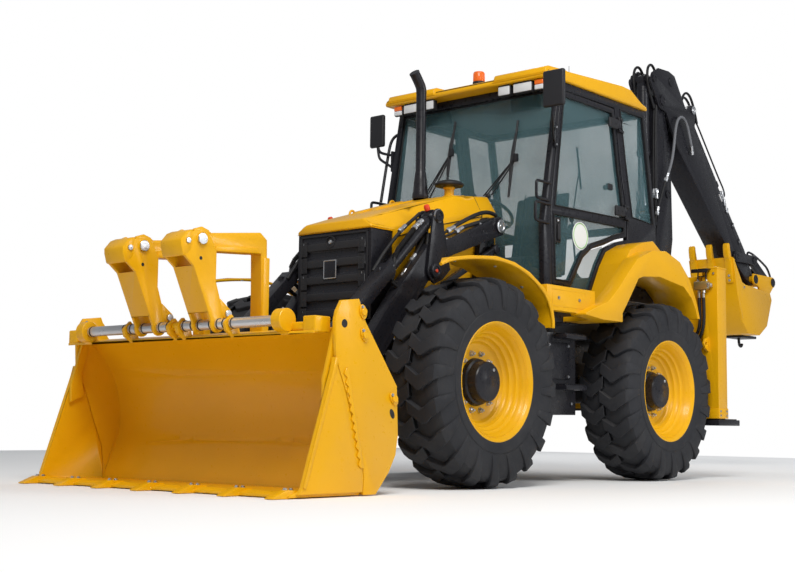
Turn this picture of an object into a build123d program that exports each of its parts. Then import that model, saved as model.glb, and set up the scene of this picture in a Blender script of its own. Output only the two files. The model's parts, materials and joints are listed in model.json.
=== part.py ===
"""Backhoe loader with a clam loading bucket, flip-over forks and a side-shift backhoe.

Millimetres. +X is forward, +Y is the machine's left, +Z is up. The origin is on the
ground under the rear axle, which is the middle of the parked machine's length.
"""
import os
from math import cos, hypot, radians, sin

from build123d import *

os.makedirs("parts", exist_ok=True)

# ---- clearances ----
side_gap = 6.0            # between plates that swing past each other
running_gap = 0.05        # radial, a pin in its bore
seat_gap = 0.3            # between faces that meet but belong to different bodies

# ---- wheels and axles ----
wheelbase = 2200.0
tyre_radius = 675.0
tyre_width = 440.0
tyre_section = 190.0      # from the rim's flange out to the tread
wheel_mid_y = 955.0
rim_flange_radius = 380.0
rim_barrel_radius = 352.0
rim_wall = 14.0
rim_disc_inset = 190.0    # from the outer flange to the disc
hub_radius = 130.0
hub_inset = 80.0          # from the outer flange to the hub's face
hub_length = 200.0
spindle_radius = 60.0
kingpin_y = 800.0
kingpin_radius = 30.0
axle_tube_radius = 90.0
axle_bulge_radius = 185.0
axle_bulge_half = 150.0
yoke_half_height = 130.0
yoke_plate = 30.0
yoke_half_length = 60.0
knuckle_radius = 62.0
steer_cylinder_radius = 42.0
steer_cylinder_half = 330.0
steer_cylinder_offset = 150.0

# ---- chassis ----
rail_inner_y = 290.0
rail_outer_y = 352.0
rail_low_z = 890.0
rail_high_z = 1090.0
rail_rear_x = -780.0
rail_front_x = 2440.0
tower_thickness = 43.0
saddle_half = 80.0
engine_front_x = 2260.0
engine_rear_x = 1440.0
engine_half_width = 265.0
engine_top_z = 1480.0
engine_gap = 15.0

# ---- loader linkage, side view (x, z) ----
arm_pin = (1300.0, 1840.0)
lever_pin = (2078.0, 1437.0)
bucket_pin = (3100.0, 340.0)
lever_length = 385.0          # lever pin up to the tilt cylinder's pin
lever_lean = 5.0              # degrees back from upright
bucket_lug_lean = 22.0        # degrees forward from upright, to the tilt cylinder's eye
level_offset = (5.0, -165.0)  # lever pin down to the levelling link's pin
lift_base_pin = (1050.0, 620.0)
lift_rod_pin = (2350.0, 985.0)
arm_inner_y = 410.0
arm_outer_y = 500.0
arm_boss_radius = 70.0
pin_radius = 35.0
small_pin_radius = 25.0
lever_plate = 17.0
lever_half_width = 62.0
level_link_half = 20.0
level_link_y = (435.0, 475.0)
tilt_barrel_radius = 42.0
tilt_barrel_length = 760.0
tilt_rod_radius = 24.0
guard_wall = 6.0
guard_depth = 78.0
lift_barrel_radius = 50.0
lift_barrel_length = 1250.0
lift_rod_radius = 30.0
eye_half_width = 25.0
bucket_lug_plate = 16.0

# ---- loading bucket ----
bucket_half_width = 1190.0
bucket_side_plate = 24.0
bucket_sheet = 16.0
mould_centre = (3965.0, 420.0)
mould_radius = 590.0
clam_pin = (3678.0, 967.0)
clam_gap = 6.0
tooth_count = 7
tooth_edge_inset = 68.0   # from the bucket's side to the middle of the end tooth
tooth_pitch = 2 * (bucket_half_width - tooth_edge_inset) / (tooth_count - 1)
tooth_tip_x = 4164.0
clam_pin_radius = 22.0
clam_arm_plate = 24.0
clam_arm_half = 38.0
lip_half_width = bucket_half_width - 70
fork_bar_pin = (3865.0, 965.0)
fork_bar_radius = 27.0
fork_bar_half = 928.0
fork_eye_radius = 50.0
fork_centre_y = 265.0
fork_half_width = 92.0
fork_plate = 20.0
fork_knee_pin = (4008.0, 1450.0)
fork_tine_half = 50.0

# ---- cab ----
cab_half_width = 780.0
pillar = 46.0
cab_floor_z = 1150.0
glass = 6.0
door_gap = 8.0
door_frame_width = 42.0
hinge_radius = 12.0
door_hinge_low = (30.0, 2081.0)
door_hinge_high = (118.0, 2768.0)
lamp_low_z = 2876.0
beacon_place = (850.0, -40.0)
beacon_radius = 46.0

# ---- rear frame, stabilisers and backhoe ----
column_front_x = -716.0
column_rear_x = -868.0
column_inner_y = 1056.0
column_outer_y = 1190.0
column_low_z = 485.0
column_high_z = 1690.0
column_wall = 12.0
tie_down_hole = (-672.0, 1075.0)
tie_down_radius = 15.0
leg_gap = 0.8
leg_length = 1080.0
pad_front_x = -720.0
pad_rear_x = -1080.0
pad_width = 160.0
pad_thickness = 45.0
frame_front_x = -812.0
frame_thickness = 40.0
carriage_half_width = 330.0
carriage_thickness = 90.0
carriage_low_z = 540.0
carriage_high_z = 1660.0
swing_x = -1090.0
swing_pin_radius = 45.0
swing_eye_radius = 85.0
swing_low_z = 640.0           # middle of the lower ear
swing_high_z = 1420.0         # middle of the upper ear
swing_ear = 80.0
kingpost_plate = 30.0
boom_foot_pin = (-1330.0, 760.0)
boom_head_pin = (-1765.0, 3440.0)
boom_half_width = 90.0
boom_plate = 20.0
boom_boss_radius = 70.0
boom_ram_pin = (-1900.0, 2575.0)
boom_ram_base = (-1240.0, 1150.0)   # the rod's eye, on the kingpost
boom_ram_radius = 56.0
boom_ram_rod_radius = 32.0
boom_ram_barrel = 1000.0
dipper_ram_pin = (-1620.0, 3620.0)  # the barrel's eye, on the dipper's head
dipper_ram_base = (-1620.0, 2400.0)  # the rod's eye, on the boom
dipper_ram_radius = 58.0
dipper_ram_rod_radius = 30.0
dipper_ram_barrel = 720.0
dipper_plate = 22.0
dipper_tip_pin = (-3550.0, 1920.0)
hoe_crank = (-400.0, 0.0)           # bucket pin to link pin
hoe_base = (350.0, 200.0)           # bucket pin up to the lever's pin on the dipper
hoe_ram_pin = (-2360.0, 3460.0)
hoe_ram_radius = 62.0
hoe_ram_rod_radius = 32.0
hoe_ram_barrel = 900.0
hoe_lever_plate = 20.0
hoe_half_width = 235.0
hoe_sheet = 14.0
hose_radius = 11.0
hose_peg_radius = 8.0
hose_y = 70.0
# the hose that loops round the bucket link, from peg to peg: (x, z)
hose_route = [(-3570, 2158), (-3590, 2215), (-3690, 2205), (-3870, 2155), (-4040, 2090), (-4118, 1995),
              (-4095, 1905), (-4040, 1876), (-3986, 1884)]


def plate(outline, low_y, high_y, mode=Mode.ADD):
    """A side-view outline of (x, z) points, thickened from low_y to high_y."""
    with BuildSketch(Plane.XZ.offset(-high_y)) as profile:
        with BuildLine():
            Polyline(*outline, close=True)
        make_face()
    extrude(profile.sketch, amount=high_y - low_y, mode=mode)


def pane_plate(outline, low_y, high_y):
    """A pane that sits in a hole of the same outline, clear of its edges."""
    with BuildSketch(Plane.XZ.offset(-high_y)) as profile:
        with BuildLine():
            Polyline(*outline, close=True)
        make_face()
        offset(amount=-seat_gap, kind=Kind.INTERSECTION, mode=Mode.REPLACE)
    extrude(profile.sketch, amount=high_y - low_y)


def hinge_line(z):
    """The doors' hinge line, leaning forward at its top."""
    share = (z - door_hinge_low[1]) / (door_hinge_high[1] - door_hinge_low[1])
    return (door_hinge_low[0] + (door_hinge_high[0] - door_hinge_low[0]) * share, z)


def rod(start, end, radius, mode=Mode.ADD):
    """A round bar, or a bore, from one point to another."""
    run = Vector(*end) - Vector(*start)
    with BuildSketch(Plane(origin=start, z_dir=run)) as section:
        Circle(radius)
    extrude(section.sketch, amount=run.length, mode=mode)


def slab(x_range, y_range, z_range, mode=Mode.ADD):
    """A block between the given limits."""
    outline = [(x, z) for x, z in (
        (x_range[0], z_range[0]), (x_range[1], z_range[0]),
        (x_range[1], z_range[1]), (x_range[0], z_range[1]))]
    plate(outline, y_range[0], y_range[1], mode)


def eye(pin, radius, low_y, high_y, mode=Mode.ADD):
    """A disc, or a bore, across a pin that runs along Y."""
    rod((pin[0], low_y, pin[1]), (pin[0], high_y, pin[1]), radius, mode)


def bar_outline(start, end, half_start, half_end):
    """A straight bar between two points of the side view."""
    length = hypot(end[0] - start[0], end[1] - start[1])
    along = ((end[0] - start[0]) / length, (end[1] - start[1]) / length)
    across = (-along[1], along[0])
    return [
        (start[0] + across[0] * half_start, start[1] + across[1] * half_start),
        (end[0] + across[0] * half_end, end[1] + across[1] * half_end),
        (end[0] - across[0] * half_end, end[1] - across[1] * half_end),
        (start[0] - across[0] * half_start, start[1] - across[1] * half_start)]


def between(start, end, distance):
    """The point at a distance from start towards end, in the side view."""
    length = hypot(end[0] - start[0], end[1] - start[1])
    share = distance / length
    return (start[0] + (end[0] - start[0]) * share, start[1] + (end[1] - start[1]) * share)


def span(side, inner_y, outer_y):
    """The same limits on the left (side 1) or on the right (side -1)."""
    return (inner_y, outer_y) if side > 0 else (-outer_y, -inner_y)


def at(pin, y):
    """A side-view point at a given y."""
    return (pin[0], y, pin[1])


def finish(part, name):
    part.label = name
    export_step(part, f"parts/{name}.step")


lever_top_pin = (lever_pin[0] - lever_length * sin(radians(lever_lean)),
                 lever_pin[1] + lever_length * cos(radians(lever_lean)))
tilt_eye_pin = (bucket_pin[0] + lever_length * sin(radians(bucket_lug_lean)),
                bucket_pin[1] + lever_length * cos(radians(bucket_lug_lean)))
level_lever_pin = (lever_pin[0] + level_offset[0], lever_pin[1] + level_offset[1])
level_tower_pin = (arm_pin[0] + level_offset[0], arm_pin[1] + level_offset[1])
arm_mid_y = (arm_inner_y + arm_outer_y) / 2
tower_outer_y = rail_outer_y + tower_thickness
lever_in = (arm_inner_y - side_gap - lever_plate, arm_inner_y - side_gap)
lever_out = (arm_outer_y + side_gap, arm_outer_y + side_gap + lever_plate)
guard_half = tilt_barrel_radius + side_gap + guard_wall
lug_in = (arm_mid_y - guard_half - side_gap - bucket_lug_plate, arm_mid_y - guard_half - side_gap)
lug_out = (arm_mid_y + guard_half + side_gap, arm_mid_y + guard_half + side_gap + bucket_lug_plate)
axle_z = tyre_radius
wheel_outer_y = wheel_mid_y + tyre_width / 2 - 20.0

# ---------------------------------------------------------------- chassis
with BuildPart() as chassis_frame:
    for side in (-1, 1):
        slab((rail_rear_x, rail_front_x), span(side, rail_inner_y, rail_outer_y),
             (rail_low_z, rail_high_z))
        tower = [(920, 560), (1120, 540), (1500, 900), (1500, 1090),
                 (1375, 1840), (1232, 1850), (1180, 1090), (920, 1000)]
        plate(tower, *span(side, rail_outer_y, tower_outer_y))
        eye(arm_pin, arm_boss_radius + 8, *span(side, rail_outer_y, tower_outer_y))
        eye(arm_pin, pin_radius, *span(side, rail_outer_y, arm_outer_y + 1.0))
        eye(arm_pin, pin_radius + 16, *span(side, arm_outer_y + 1.0, arm_outer_y + 11.0))
        eye(level_tower_pin, small_pin_radius, *span(side, rail_outer_y, level_link_y[1] + 1))
        eye(level_tower_pin, small_pin_radius + 10,
            *span(side, level_link_y[1] + 1, level_link_y[1] + 8))
        slab((-saddle_half, saddle_half), span(side, rail_inner_y, rail_outer_y),
             (axle_z + axle_tube_radius - 10, rail_low_z))
        slab((wheelbase - saddle_half, wheelbase + saddle_half),
             span(side, rail_inner_y, rail_outer_y),
             (axle_z + axle_tube_radius - 10, rail_low_z))
    for x_low, x_high, z_low, z_high in (  # cross members
            (rail_rear_x, -700, rail_low_z, rail_high_z),
            (330, 430, rail_low_z, rail_high_z),
            (1180, 1260, rail_low_z, rail_high_z),
            (2380, rail_front_x, 790, rail_high_z)):
        slab((x_low, x_high), (-rail_inner_y - 1, rail_inner_y + 1), (z_low, z_high))
    for radius, x in ((axle_tube_radius, 0), (axle_tube_radius, wheelbase)):
        eye((x, axle_z), radius, -rail_outer_y, rail_outer_y, Mode.SUBTRACT)
    # step tanks, one on each side, hung from the rails on two beams
    for side in (-1, 1):
        slab((920, 1310), span(side, 600, 900), (480, 1060))
        for z in (640, 880):
            slab((925, 985), span(side, tower_outer_y, 600), (z, z + 60))
        for z in (655, 1015):
            slab((940, 1200), span(side, 900, 1010), (z, z + 30))
finish(chassis_frame.part, "chassis_frame")

# the lift cylinders' base pins stand on the towers
with BuildPart() as lift_base_pins:
    for side in (-1, 1):
        eye(lift_base_pin, pin_radius, *span(side, tower_outer_y + seat_gap, arm_outer_y + 1.0))
        eye(lift_base_pin, pin_radius + 16, *span(side, arm_outer_y + 1.0, arm_outer_y + 11.0))
finish(lift_base_pins.part, "lift_base_pins")

with BuildPart() as engine_block:
    slab((engine_rear_x, engine_front_x), (-engine_half_width, engine_half_width),
         (rail_low_z + engine_gap, engine_top_z))
    for side in (-1, 1):
        for x in (engine_rear_x + 80, engine_front_x - 120):
            slab((x - 30, x + 30), span(side, engine_half_width, rail_inner_y),
                 (rail_low_z + 60, rail_low_z + 90))
finish(engine_block.part, "engine_block")


def steered_axle(centre_x, steer_side):
    """A driven axle: tube, differential, yokes for the kingpins and steering cylinder."""
    eye((centre_x, axle_z), axle_tube_radius, -(kingpin_y - 130), kingpin_y - 130)
    eye((centre_x, axle_z), axle_bulge_radius, -axle_bulge_half, axle_bulge_half)
    cylinder_x = centre_x + steer_side * steer_cylinder_offset
    eye((cylinder_x, axle_z), steer_cylinder_radius, -steer_cylinder_half, steer_cylinder_half)
    for side in (-1, 1):
        slab((centre_x - yoke_half_length, centre_x + yoke_half_length),
             span(side, kingpin_y - 190, kingpin_y - 90),
             (axle_z - yoke_half_height, axle_z + yoke_half_height))
        for z in (axle_z - yoke_half_height, axle_z + yoke_half_height - yoke_plate):
            slab((centre_x - yoke_half_length, centre_x + yoke_half_length),
                 span(side, kingpin_y - 90, kingpin_y), (z, z + yoke_plate))
            rod((centre_x, side * kingpin_y, z), (centre_x, side * kingpin_y, z + yoke_plate),
                yoke_half_length)
        rod((centre_x, side * kingpin_y, 0), (centre_x, side * kingpin_y, 2 * axle_z),
            kingpin_radius + running_gap, Mode.SUBTRACT)
        bracket = sorted((centre_x, cylinder_x))
        slab(bracket, span(side, 200, 240), (axle_z - 25, axle_z + 25))


with BuildPart() as axles:
    for centre_x, steer_side in ((wheelbase, -1), (0, 1)):
        steered_axle(centre_x, steer_side)
finish(axles.part, "axles")

wheels = (("front_left", wheelbase, 1), ("front_right", wheelbase, -1),
          ("rear_left", 0, 1), ("rear_right", 0, -1))
flange_y = wheel_outer_y
hub_face_y = flange_y - hub_inset
hub_back_y = hub_face_y - hub_length
for name, centre_x, side in wheels:
    with BuildPart() as knuckle:
        inner_z = yoke_half_height - yoke_plate - 5
        rod((centre_x, side * kingpin_y, axle_z - inner_z),
            (centre_x, side * kingpin_y, axle_z + inner_z), knuckle_radius)
        rod((centre_x, side * kingpin_y, axle_z - yoke_half_height),
            (centre_x, side * kingpin_y, axle_z + yoke_half_height), kingpin_radius)
        eye((centre_x, axle_z), knuckle_radius + 8, *span(side, kingpin_y, hub_back_y - seat_gap))
        eye((centre_x, axle_z), spindle_radius, *span(side, kingpin_y, hub_back_y + 80))
    finish(knuckle.part, f"knuckle_{name}")

    with BuildPart() as tyre:
        # half section of the tyre about the wheel's axis: (radius, distance inboard)
        section = ((rim_flange_radius + 4, 22), (rim_flange_radius + 60, 8),
                   (tyre_radius - 110, 0), (tyre_radius - 20, 18), (tyre_radius, 40),
                   (tyre_radius, tyre_width - 40), (tyre_radius - 20, tyre_width - 18),
                   (tyre_radius - 110, tyre_width), (rim_flange_radius + 60, tyre_width - 8),
                   (rim_flange_radius + 5, tyre_width - 22), (rim_flange_radius + 1, tyre_width - 42),
                   (rim_barrel_radius + seat_gap, tyre_width - 66),
                   (rim_barrel_radius + seat_gap, 58), (rim_flange_radius + 1, 34))
        outer = wheel_mid_y + tyre_width / 2
        with BuildSketch(Plane.XY.offset(axle_z)) as profile:
            with BuildLine():
                Polyline(*[(centre_x + r, side * (outer - depth)) for r, depth in section], close=True)
            make_face()
        revolve(profile.sketch, axis=Axis((centre_x, 0, axle_z), (0, 1, 0)))
    finish(tyre.part, f"tyre_{name}")

    with BuildPart() as rim:
        inner_y = wheel_mid_y - tyre_width / 2 + 38
        # the rim's barrel, lips, dish and disc: (radius, y)
        section = ((rim_flange_radius, flange_y), (rim_flange_radius, flange_y - 10),
                   (rim_barrel_radius, flange_y - 34), (rim_barrel_radius, inner_y + 24),
                   (rim_flange_radius, inner_y), (rim_flange_radius, inner_y - 10),
                   (rim_barrel_radius - rim_wall, inner_y + 14),
                   (rim_barrel_radius - rim_wall, flange_y - rim_disc_inset - 30),
                   (hub_radius - 1, flange_y - rim_disc_inset - 30),
                   (hub_radius - 1, flange_y - rim_disc_inset),
                   (rim_barrel_radius - rim_wall - 40, flange_y - rim_disc_inset),
                   (rim_barrel_radius - rim_wall, flange_y - rim_disc_inset + 60),
                   (rim_barrel_radius - rim_wall, flange_y - 24))
        with BuildSketch(Plane.XY.offset(axle_z)) as profile:
            with BuildLine():
                Polyline(*[(centre_x + r, side * y) for r, y in section], close=True)
            make_face()
        revolve(profile.sketch, axis=Axis((centre_x, 0, axle_z), (0, 1, 0)))
        eye((centre_x, axle_z), hub_radius, *span(side, hub_back_y, hub_face_y))
        eye((centre_x, axle_z), spindle_radius + running_gap, *span(side, hub_back_y - 1, hub_back_y + 85),
            mode=Mode.SUBTRACT)
    finish(rim.part, f"rim_{name}")

# ---------------------------------------------------------------- hood, grille, stacks
hood_half = 345.0
hood_top_half = 270.0
hood_wall = 10.0
hood_split_x = 2305.0
# stations of the hood: x, lower edge z, shoulder z, top z
hood_body = ((hood_split_x, 1110.0, 1728.0, 1838.0), (1560.0, 1110.0, 1898.0, 2060.0),
             (1140.0, 1110.0, 1985.0, 2105.0))
hood_nose = ((2530.0, 1700.0, 1722.0, 1765.0), (hood_split_x, 1700.0, 1728.0, 1838.0))


def hood_section(x, low, shoulder, top, inset):
    """The hood's closed cross-section at one station."""
    half, top_half = hood_half - inset, hood_top_half - inset
    with BuildSketch(Plane.YZ.offset(x)) as section:
        with BuildLine():
            Polyline((-half, low), (half, low), (half, shoulder - inset / 2),
                     (top_half, top - inset), (-top_half, top - inset),
                     (-half, shoulder - inset / 2), close=True)
        make_face()
    return section.sketch


with BuildPart() as hood:
    for stations in (hood_body, hood_nose):
        loft([hood_section(*station, 0) for station in stations], ruled=True)
    inner = [hood_section(x, low - 5, shoulder, top, hood_wall) for x, low, shoulder, top in hood_body]
    inner[-1] = hood_section(hood_body[-1][0] + hood_wall, *[
        z - 5 if z == hood_body[-1][1] else z for z in hood_body[-1][1:]], hood_wall)
    loft(inner, ruled=True, mode=Mode.SUBTRACT)
    nose_inner = [
        hood_section(hood_nose[0][0] - hood_wall, hood_nose[0][1] - 5, hood_nose[0][2] - 4,
                     hood_nose[0][3] - 4, hood_wall),
        hood_section(hood_split_x, hood_nose[1][1] - 5, hood_nose[1][2], hood_nose[1][3], hood_wall)]
    loft(nose_inner, ruled=True, mode=Mode.SUBTRACT)
finish(hood.part, "hood")

grille_front_x = 2520.0
with BuildPart() as grille:
    grille_wall = 12.0
    slab((hood_split_x + 4, grille_front_x), (-hood_half + 3, hood_half - 3),
         (rail_high_z + seat_gap, 1700 - seat_gap))
    slab((hood_split_x, grille_front_x - grille_wall),
         (-hood_half + 3 + grille_wall, hood_half - 3 - grille_wall),
         (rail_high_z - 10, 1701), Mode.SUBTRACT)
    for step in range(5):  # pressed ribs across the front
        z = 1110.0 + step * 115.0
        slab((grille_front_x - 2, grille_front_x + 12), (-290, 290), (z, z + 70))
finish(grille.part, "grille")

exhaust_x, exhaust_y = 1560.0, -40.0
with BuildPart() as hood_stacks:
    rod((exhaust_x, exhaust_y, 2067), (exhaust_x, exhaust_y, 2110), 58)
    rod((exhaust_x, exhaust_y, 2100), (exhaust_x, exhaust_y, 2900), 38)
    rod((exhaust_x, exhaust_y, 2880), (exhaust_x + 90, exhaust_y, 3010), 36)
    rod((1420, 120, 2079), (1420, 120, 2170), 34)
    rod((1420, 120, 2160), (1420, 120, 2205), 100)
finish(hood_stacks.part, "hood_stacks")

# ---------------------------------------------------------------- fenders
front_fender_outer = [(2752, 1386), (2674, 1425), (2472, 1459), (2188, 1483), (1990, 1464),
                      (1819, 1415), (1644, 1323), (1546, 1215), (1522, 1101), (1524, 1062)]
front_fender_inner = [(2752, 1372), (2672, 1411), (2470, 1445), (2188, 1469), (1993, 1450),
                      (1825, 1402), (1655, 1312), (1560, 1208), (1536, 1099), (1538, 1062)]
rear_shell = [(-530, 1270), (-500, 1420), (-376, 1600), (-218, 1740), (-30, 1843), (148, 1807),
              (312, 1739), (405, 1619), (507, 1439), (570, 1330), (680, 1215), (900, 1195),
              (900, 1160), (560, 1160), (-530, 1160)]
rear_lip = [(-533, 1271), (-480, 1400), (-376, 1562), (-218, 1689), (0, 1750), (200, 1735),
            (420, 1650), (560, 1530), (700, 1400), (838, 1297), (1134, 1195), (1134, 1180),
            (900, 1160), (-533, 1160)]
rear_arch = [(642, 1100), (642, 1225), (551, 1330), (411, 1500), (341, 1522), (95, 1542), (-277, 1498),
             (-400, 1420), (-470, 1330), (-500, 1262), (-600, 1262), (-600, 1100)]
with BuildPart() as fenders:
    for side in (-1, 1):
        plate(front_fender_outer + front_fender_inner[::-1], *span(side, 700, 1130))
        # the bracket steps outboard of the lift cylinder
        slab((1190, 1275), span(side, tower_outer_y, 720), (1120, 1200))
        plate([(1265, 1120), (1542, 1150), (1552, 1200), (1265, 1200)], *span(side, 530, 720))
        plate(rear_shell, *span(side, cab_half_width + seat_gap, 1000))
        plate(rear_lip, *span(side, 1000, 1130))
        plate(rear_arch, *span(side, cab_half_width, 1140), mode=Mode.SUBTRACT)
        slab((890, 1500), span(side, 985, 1050), (1195, 1370))
finish(fenders.part, "fenders")

# ---------------------------------------------------------------- cab
door_hinge_y = cab_half_width + 14
# side frame, as (x, z), and its openings
deck_z = 1385.0
deck_front_x = 690.0
cab_outline = [(1134, cab_floor_z), (1150, 1870), (940, 2960), (-300, 2960), (-465, 2011), (-440, 1500),
               (-400, deck_z), (deck_front_x, deck_z), (deck_front_x, cab_floor_z)]
door_opening = [(1040, 1420), (1062, 1975), (925, 2900), (160, 2900), (70, 2400), (-20, 2060),
                (-20, 1870), (160, 1830), (330, 1760), (420, 1640), (560, 1400)]
rear_opening = [(85, 2900), (-260, 2900), (-415, 2040), (-90, 2060), (10, 2500)]
with BuildPart() as cab_frame:
    for side in (-1, 1):
        limits = span(side, cab_half_width - pillar, cab_half_width)
        plate(cab_outline, *limits)
        plate(door_opening, *limits, mode=Mode.SUBTRACT)
        plate(rear_opening, *limits, mode=Mode.SUBTRACT)
        for point in (door_hinge_low, door_hinge_high):  # the frame's hinge knuckles
            for low, high in ((-60, -34 - seat_gap), (34 + seat_gap, 60)):
                knuckle_low, knuckle_high = hinge_line(point[1] + low), hinge_line(point[1] + high)
                rod(at(knuckle_low, side * door_hinge_y), at(knuckle_high, side * door_hinge_y), hinge_radius)
                slab((knuckle_low[0] - 60, knuckle_low[0] + 2),
                     span(side, cab_half_width - 1, door_hinge_y + 4),
                     (point[1] + low + 2, point[1] + high - 2))
    inner_half = cab_half_width - pillar + 1
    for low, high in (((900, 2900), (960, 2960)), ((-300, 2900), (-240, 2960)),
                      ((-450, 1990), (-400, 2050)), ((1090, 1370), (1140, 1420))):
        slab((low[0], high[0]), (-inner_half, inner_half), (low[1], high[1]))
finish(cab_frame.part, "cab_frame")

with BuildPart() as cab_floor:
    floor_half = cab_half_width - pillar - seat_gap
    tunnel_half = 480.0
    slab((deck_front_x, 1120), (-floor_half, floor_half), (cab_floor_z, cab_floor_z + 30))
    slab((-390, deck_front_x + 30), (-floor_half, floor_half), (deck_z, deck_z + 30))
    slab((deck_front_x, deck_front_x + 30), (-floor_half, floor_half), (cab_floor_z, deck_z + 1))
    slab((-390, deck_front_x + 1), (-tunnel_half, tunnel_half), (rail_high_z + seat_gap, deck_z + 1))
    slab((-380, -60), (-floor_half, floor_half), (deck_z + 29, 1600))
    slab((840, 1085), (-330, 330), (cab_floor_z + 29, 1400))
    slab((980, 1085), (-300, 300), (1400, 1900))
    rod((990, 0, 1650), (750, 0, 2050), 30)
    rod((765, 0, 2024), (738, 0, 2070), 190)
finish(cab_floor.part, "cab_floor")

with BuildPart() as seat:
    slab((60, 560), (-250, 250), (1620, 1740))
    plate([(60, 1740), (180, 1740), (60, 2330), (-40, 2330)], -240, 240)
    slab((150, 450), (-150, 150), (deck_z + 30 + seat_gap, 1620))
finish(seat.part, "seat")

roof_half_width = 800.0
roof_low_z = 2960.0 + seat_gap
# the roof's side profile, nose first: (x, z)
roof_profile = [(1100, roof_low_z), (1108, 2985), (1085, 3015), (900, 3040), (80, 3092), (-60, 3085),
                (-215, 3010), (-300, 2990), (-310, roof_low_z)]
# a brow stands over the lamps at each front corner: (x, z)
brow_profile = [(1040, 2990), (1112, 2990), (1098, 3036), (1060, 3050), (830, 3062), (780, 3040)]
brow_y = (290.0, 770.0)
with BuildPart() as cab_roof:
    plate(roof_profile, -roof_half_width, roof_half_width)
    for side in (-1, 1):
        plate(brow_profile, *span(side, *brow_y))
finish(cab_roof.part, "cab_roof")

door_low_y = cab_half_width - pillar + 2
# the door's outline; its lower rear edge is cut back to swing past the fender
door_outline = [(1032, 1428), (1054, 1975), (918, 2892), (170, 2892), (80, 2400), (-8, 2058),
                (-8, 1890), (165, 1850), (330, 1790), (500, 1742), (622, 1660), (700, 1555), (785, 1428)]
door_panes = (
    [(1000, 2010), (880, 2850), (205, 2850), (120, 2400), (40, 2060), (40, 2030)],
    [(995, 1465), (1015, 1945), (40, 1960), (40, 1925), (180, 1885), (345, 1828), (516, 1778), (650, 1690),
     (735, 1572), (812, 1465)])
with BuildPart() as cab_glass:
    inner_half = cab_half_width - pillar - seat_gap
    wind = [(1142 - pillar, 1420 + seat_gap), (1150 - pillar, 1870), (965 - pillar, 2900 - seat_gap),
            (959 - pillar, 2900 - seat_gap), (1144 - pillar, 1870), (1136 - pillar, 1420 + seat_gap)]
    plate(wind, -inner_half, inner_half)
    rear_window = [(-404, 2050 + seat_gap), (-398, 2050 + seat_gap),
                   (-240, 2900 - seat_gap), (-246, 2900 - seat_gap)]
    plate(rear_window, -inner_half, inner_half)
    low_y, high_y = cab_half_width - pillar / 2 - glass / 2, cab_half_width - pillar / 2 + glass / 2
    for side in (-1, 1):
        plate([(84, 2899), (-259, 2899), (-414, 2041), (-91, 2061), (9, 2500)], *span(side, low_y, high_y))
        # the fixed pane between the door's cut corner and the fender
        corner_pane = [(330.2, 1760.5), (420.3, 1640.4), (560.3, 1400.5), (775, 1409.5), (775, 1428),
                       (692, 1550), (614, 1654), (495, 1734), (330.2, 1781)]
        plate(corner_pane, *span(side, low_y, high_y))
finish(cab_glass.part, "cab_glass")

for name, side in (("left", 1), ("right", -1)):
    limits = span(side, door_low_y, door_low_y + door_frame_width)
    with BuildPart() as door:
        plate(door_outline, *limits)
        for pane in door_panes:
            plate(pane, *limits, mode=Mode.SUBTRACT)
        for point, stile_low, stile_high in ((door_hinge_low, 4, 38), (door_hinge_high, 152, 186)):
            rod(at(hinge_line(point[1] - 34), side * door_hinge_y),
                at(hinge_line(point[1] + 34), side * door_hinge_y), hinge_radius)
            slab((point[0], point[0] + 100), span(side, cab_half_width + 2, door_hinge_y + 6),
                 (point[1] - 30, point[1] + 30))
            slab((stile_low, stile_high), span(side, door_low_y + door_frame_width - 1, cab_half_width + 3),
                 (point[1] - 30, point[1] + 30))
    finish(door.part, f"door_{name}")
    with BuildPart() as door_glass:
        middle = door_low_y + door_frame_width / 2
        for pane in door_panes:
            pane_plate(pane, *span(side, middle - glass / 2, middle + glass / 2))
    finish(door_glass.part, f"door_glass_{name}")

mirrors = ((1, 1330, 995, 90), (-1, 1052, 925, 75))  # side, x, y, half width
with BuildPart() as cab_fittings:
    for side, mirror_x, mirror_y, mirror_half in mirrors:
        # the mirror on its bracket
        eye((1012, 2470), 15, *span(side, cab_half_width + seat_gap, cab_half_width + 24))
        rod((1012, side * (cab_half_width + 16), 2470), (mirror_x, side * mirror_y, 2560), 12)
        rod((mirror_x, side * mirror_y, 2550), (mirror_x, side * mirror_y, 2700), 12)
        slab((mirror_x - 18, mirror_x + 18), span(side, mirror_y - mirror_half, mirror_y + mirror_half),
             (2650, 2920))
        # the handrail
        for x, z in ((1115, 1890), (1070, 2140)):
            eye((x, z), 18, *span(side, cab_half_width + seat_gap, cab_half_width + 24))
            rod((x, side * (cab_half_width + 14), z), (1270, side * (cab_half_width + 14), z), 12)
        rod((1262, side * (cab_half_width + 14), 1880), (1262, side * (cab_half_width + 14), 2150), 12)
        # work lamps hang from the roof's front edge: (rear x, y range)
        for rear_x, y_range in ((1030, (310, 430)), (1030, (450, 630)), (1040, (645, 730))):
            slab((rear_x, 1085), span(side, *y_range), (lamp_low_z, roof_low_z - seat_gap))
        for y_range in ((380, 520), (560, 700)):  # and stand on its rear edge
            slab((-300, -262), span(side, *y_range), (roof_low_z, roof_low_z + 95))
    rod((*beacon_place, 3040), (*beacon_place, 3180), beacon_radius)
    rod((*beacon_place, 3040), (*beacon_place, 3070), beacon_radius + 8)
    plate(roof_profile, -roof_half_width, roof_half_width, Mode.SUBTRACT)
finish(cab_fittings.part, "cab_fittings")

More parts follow.
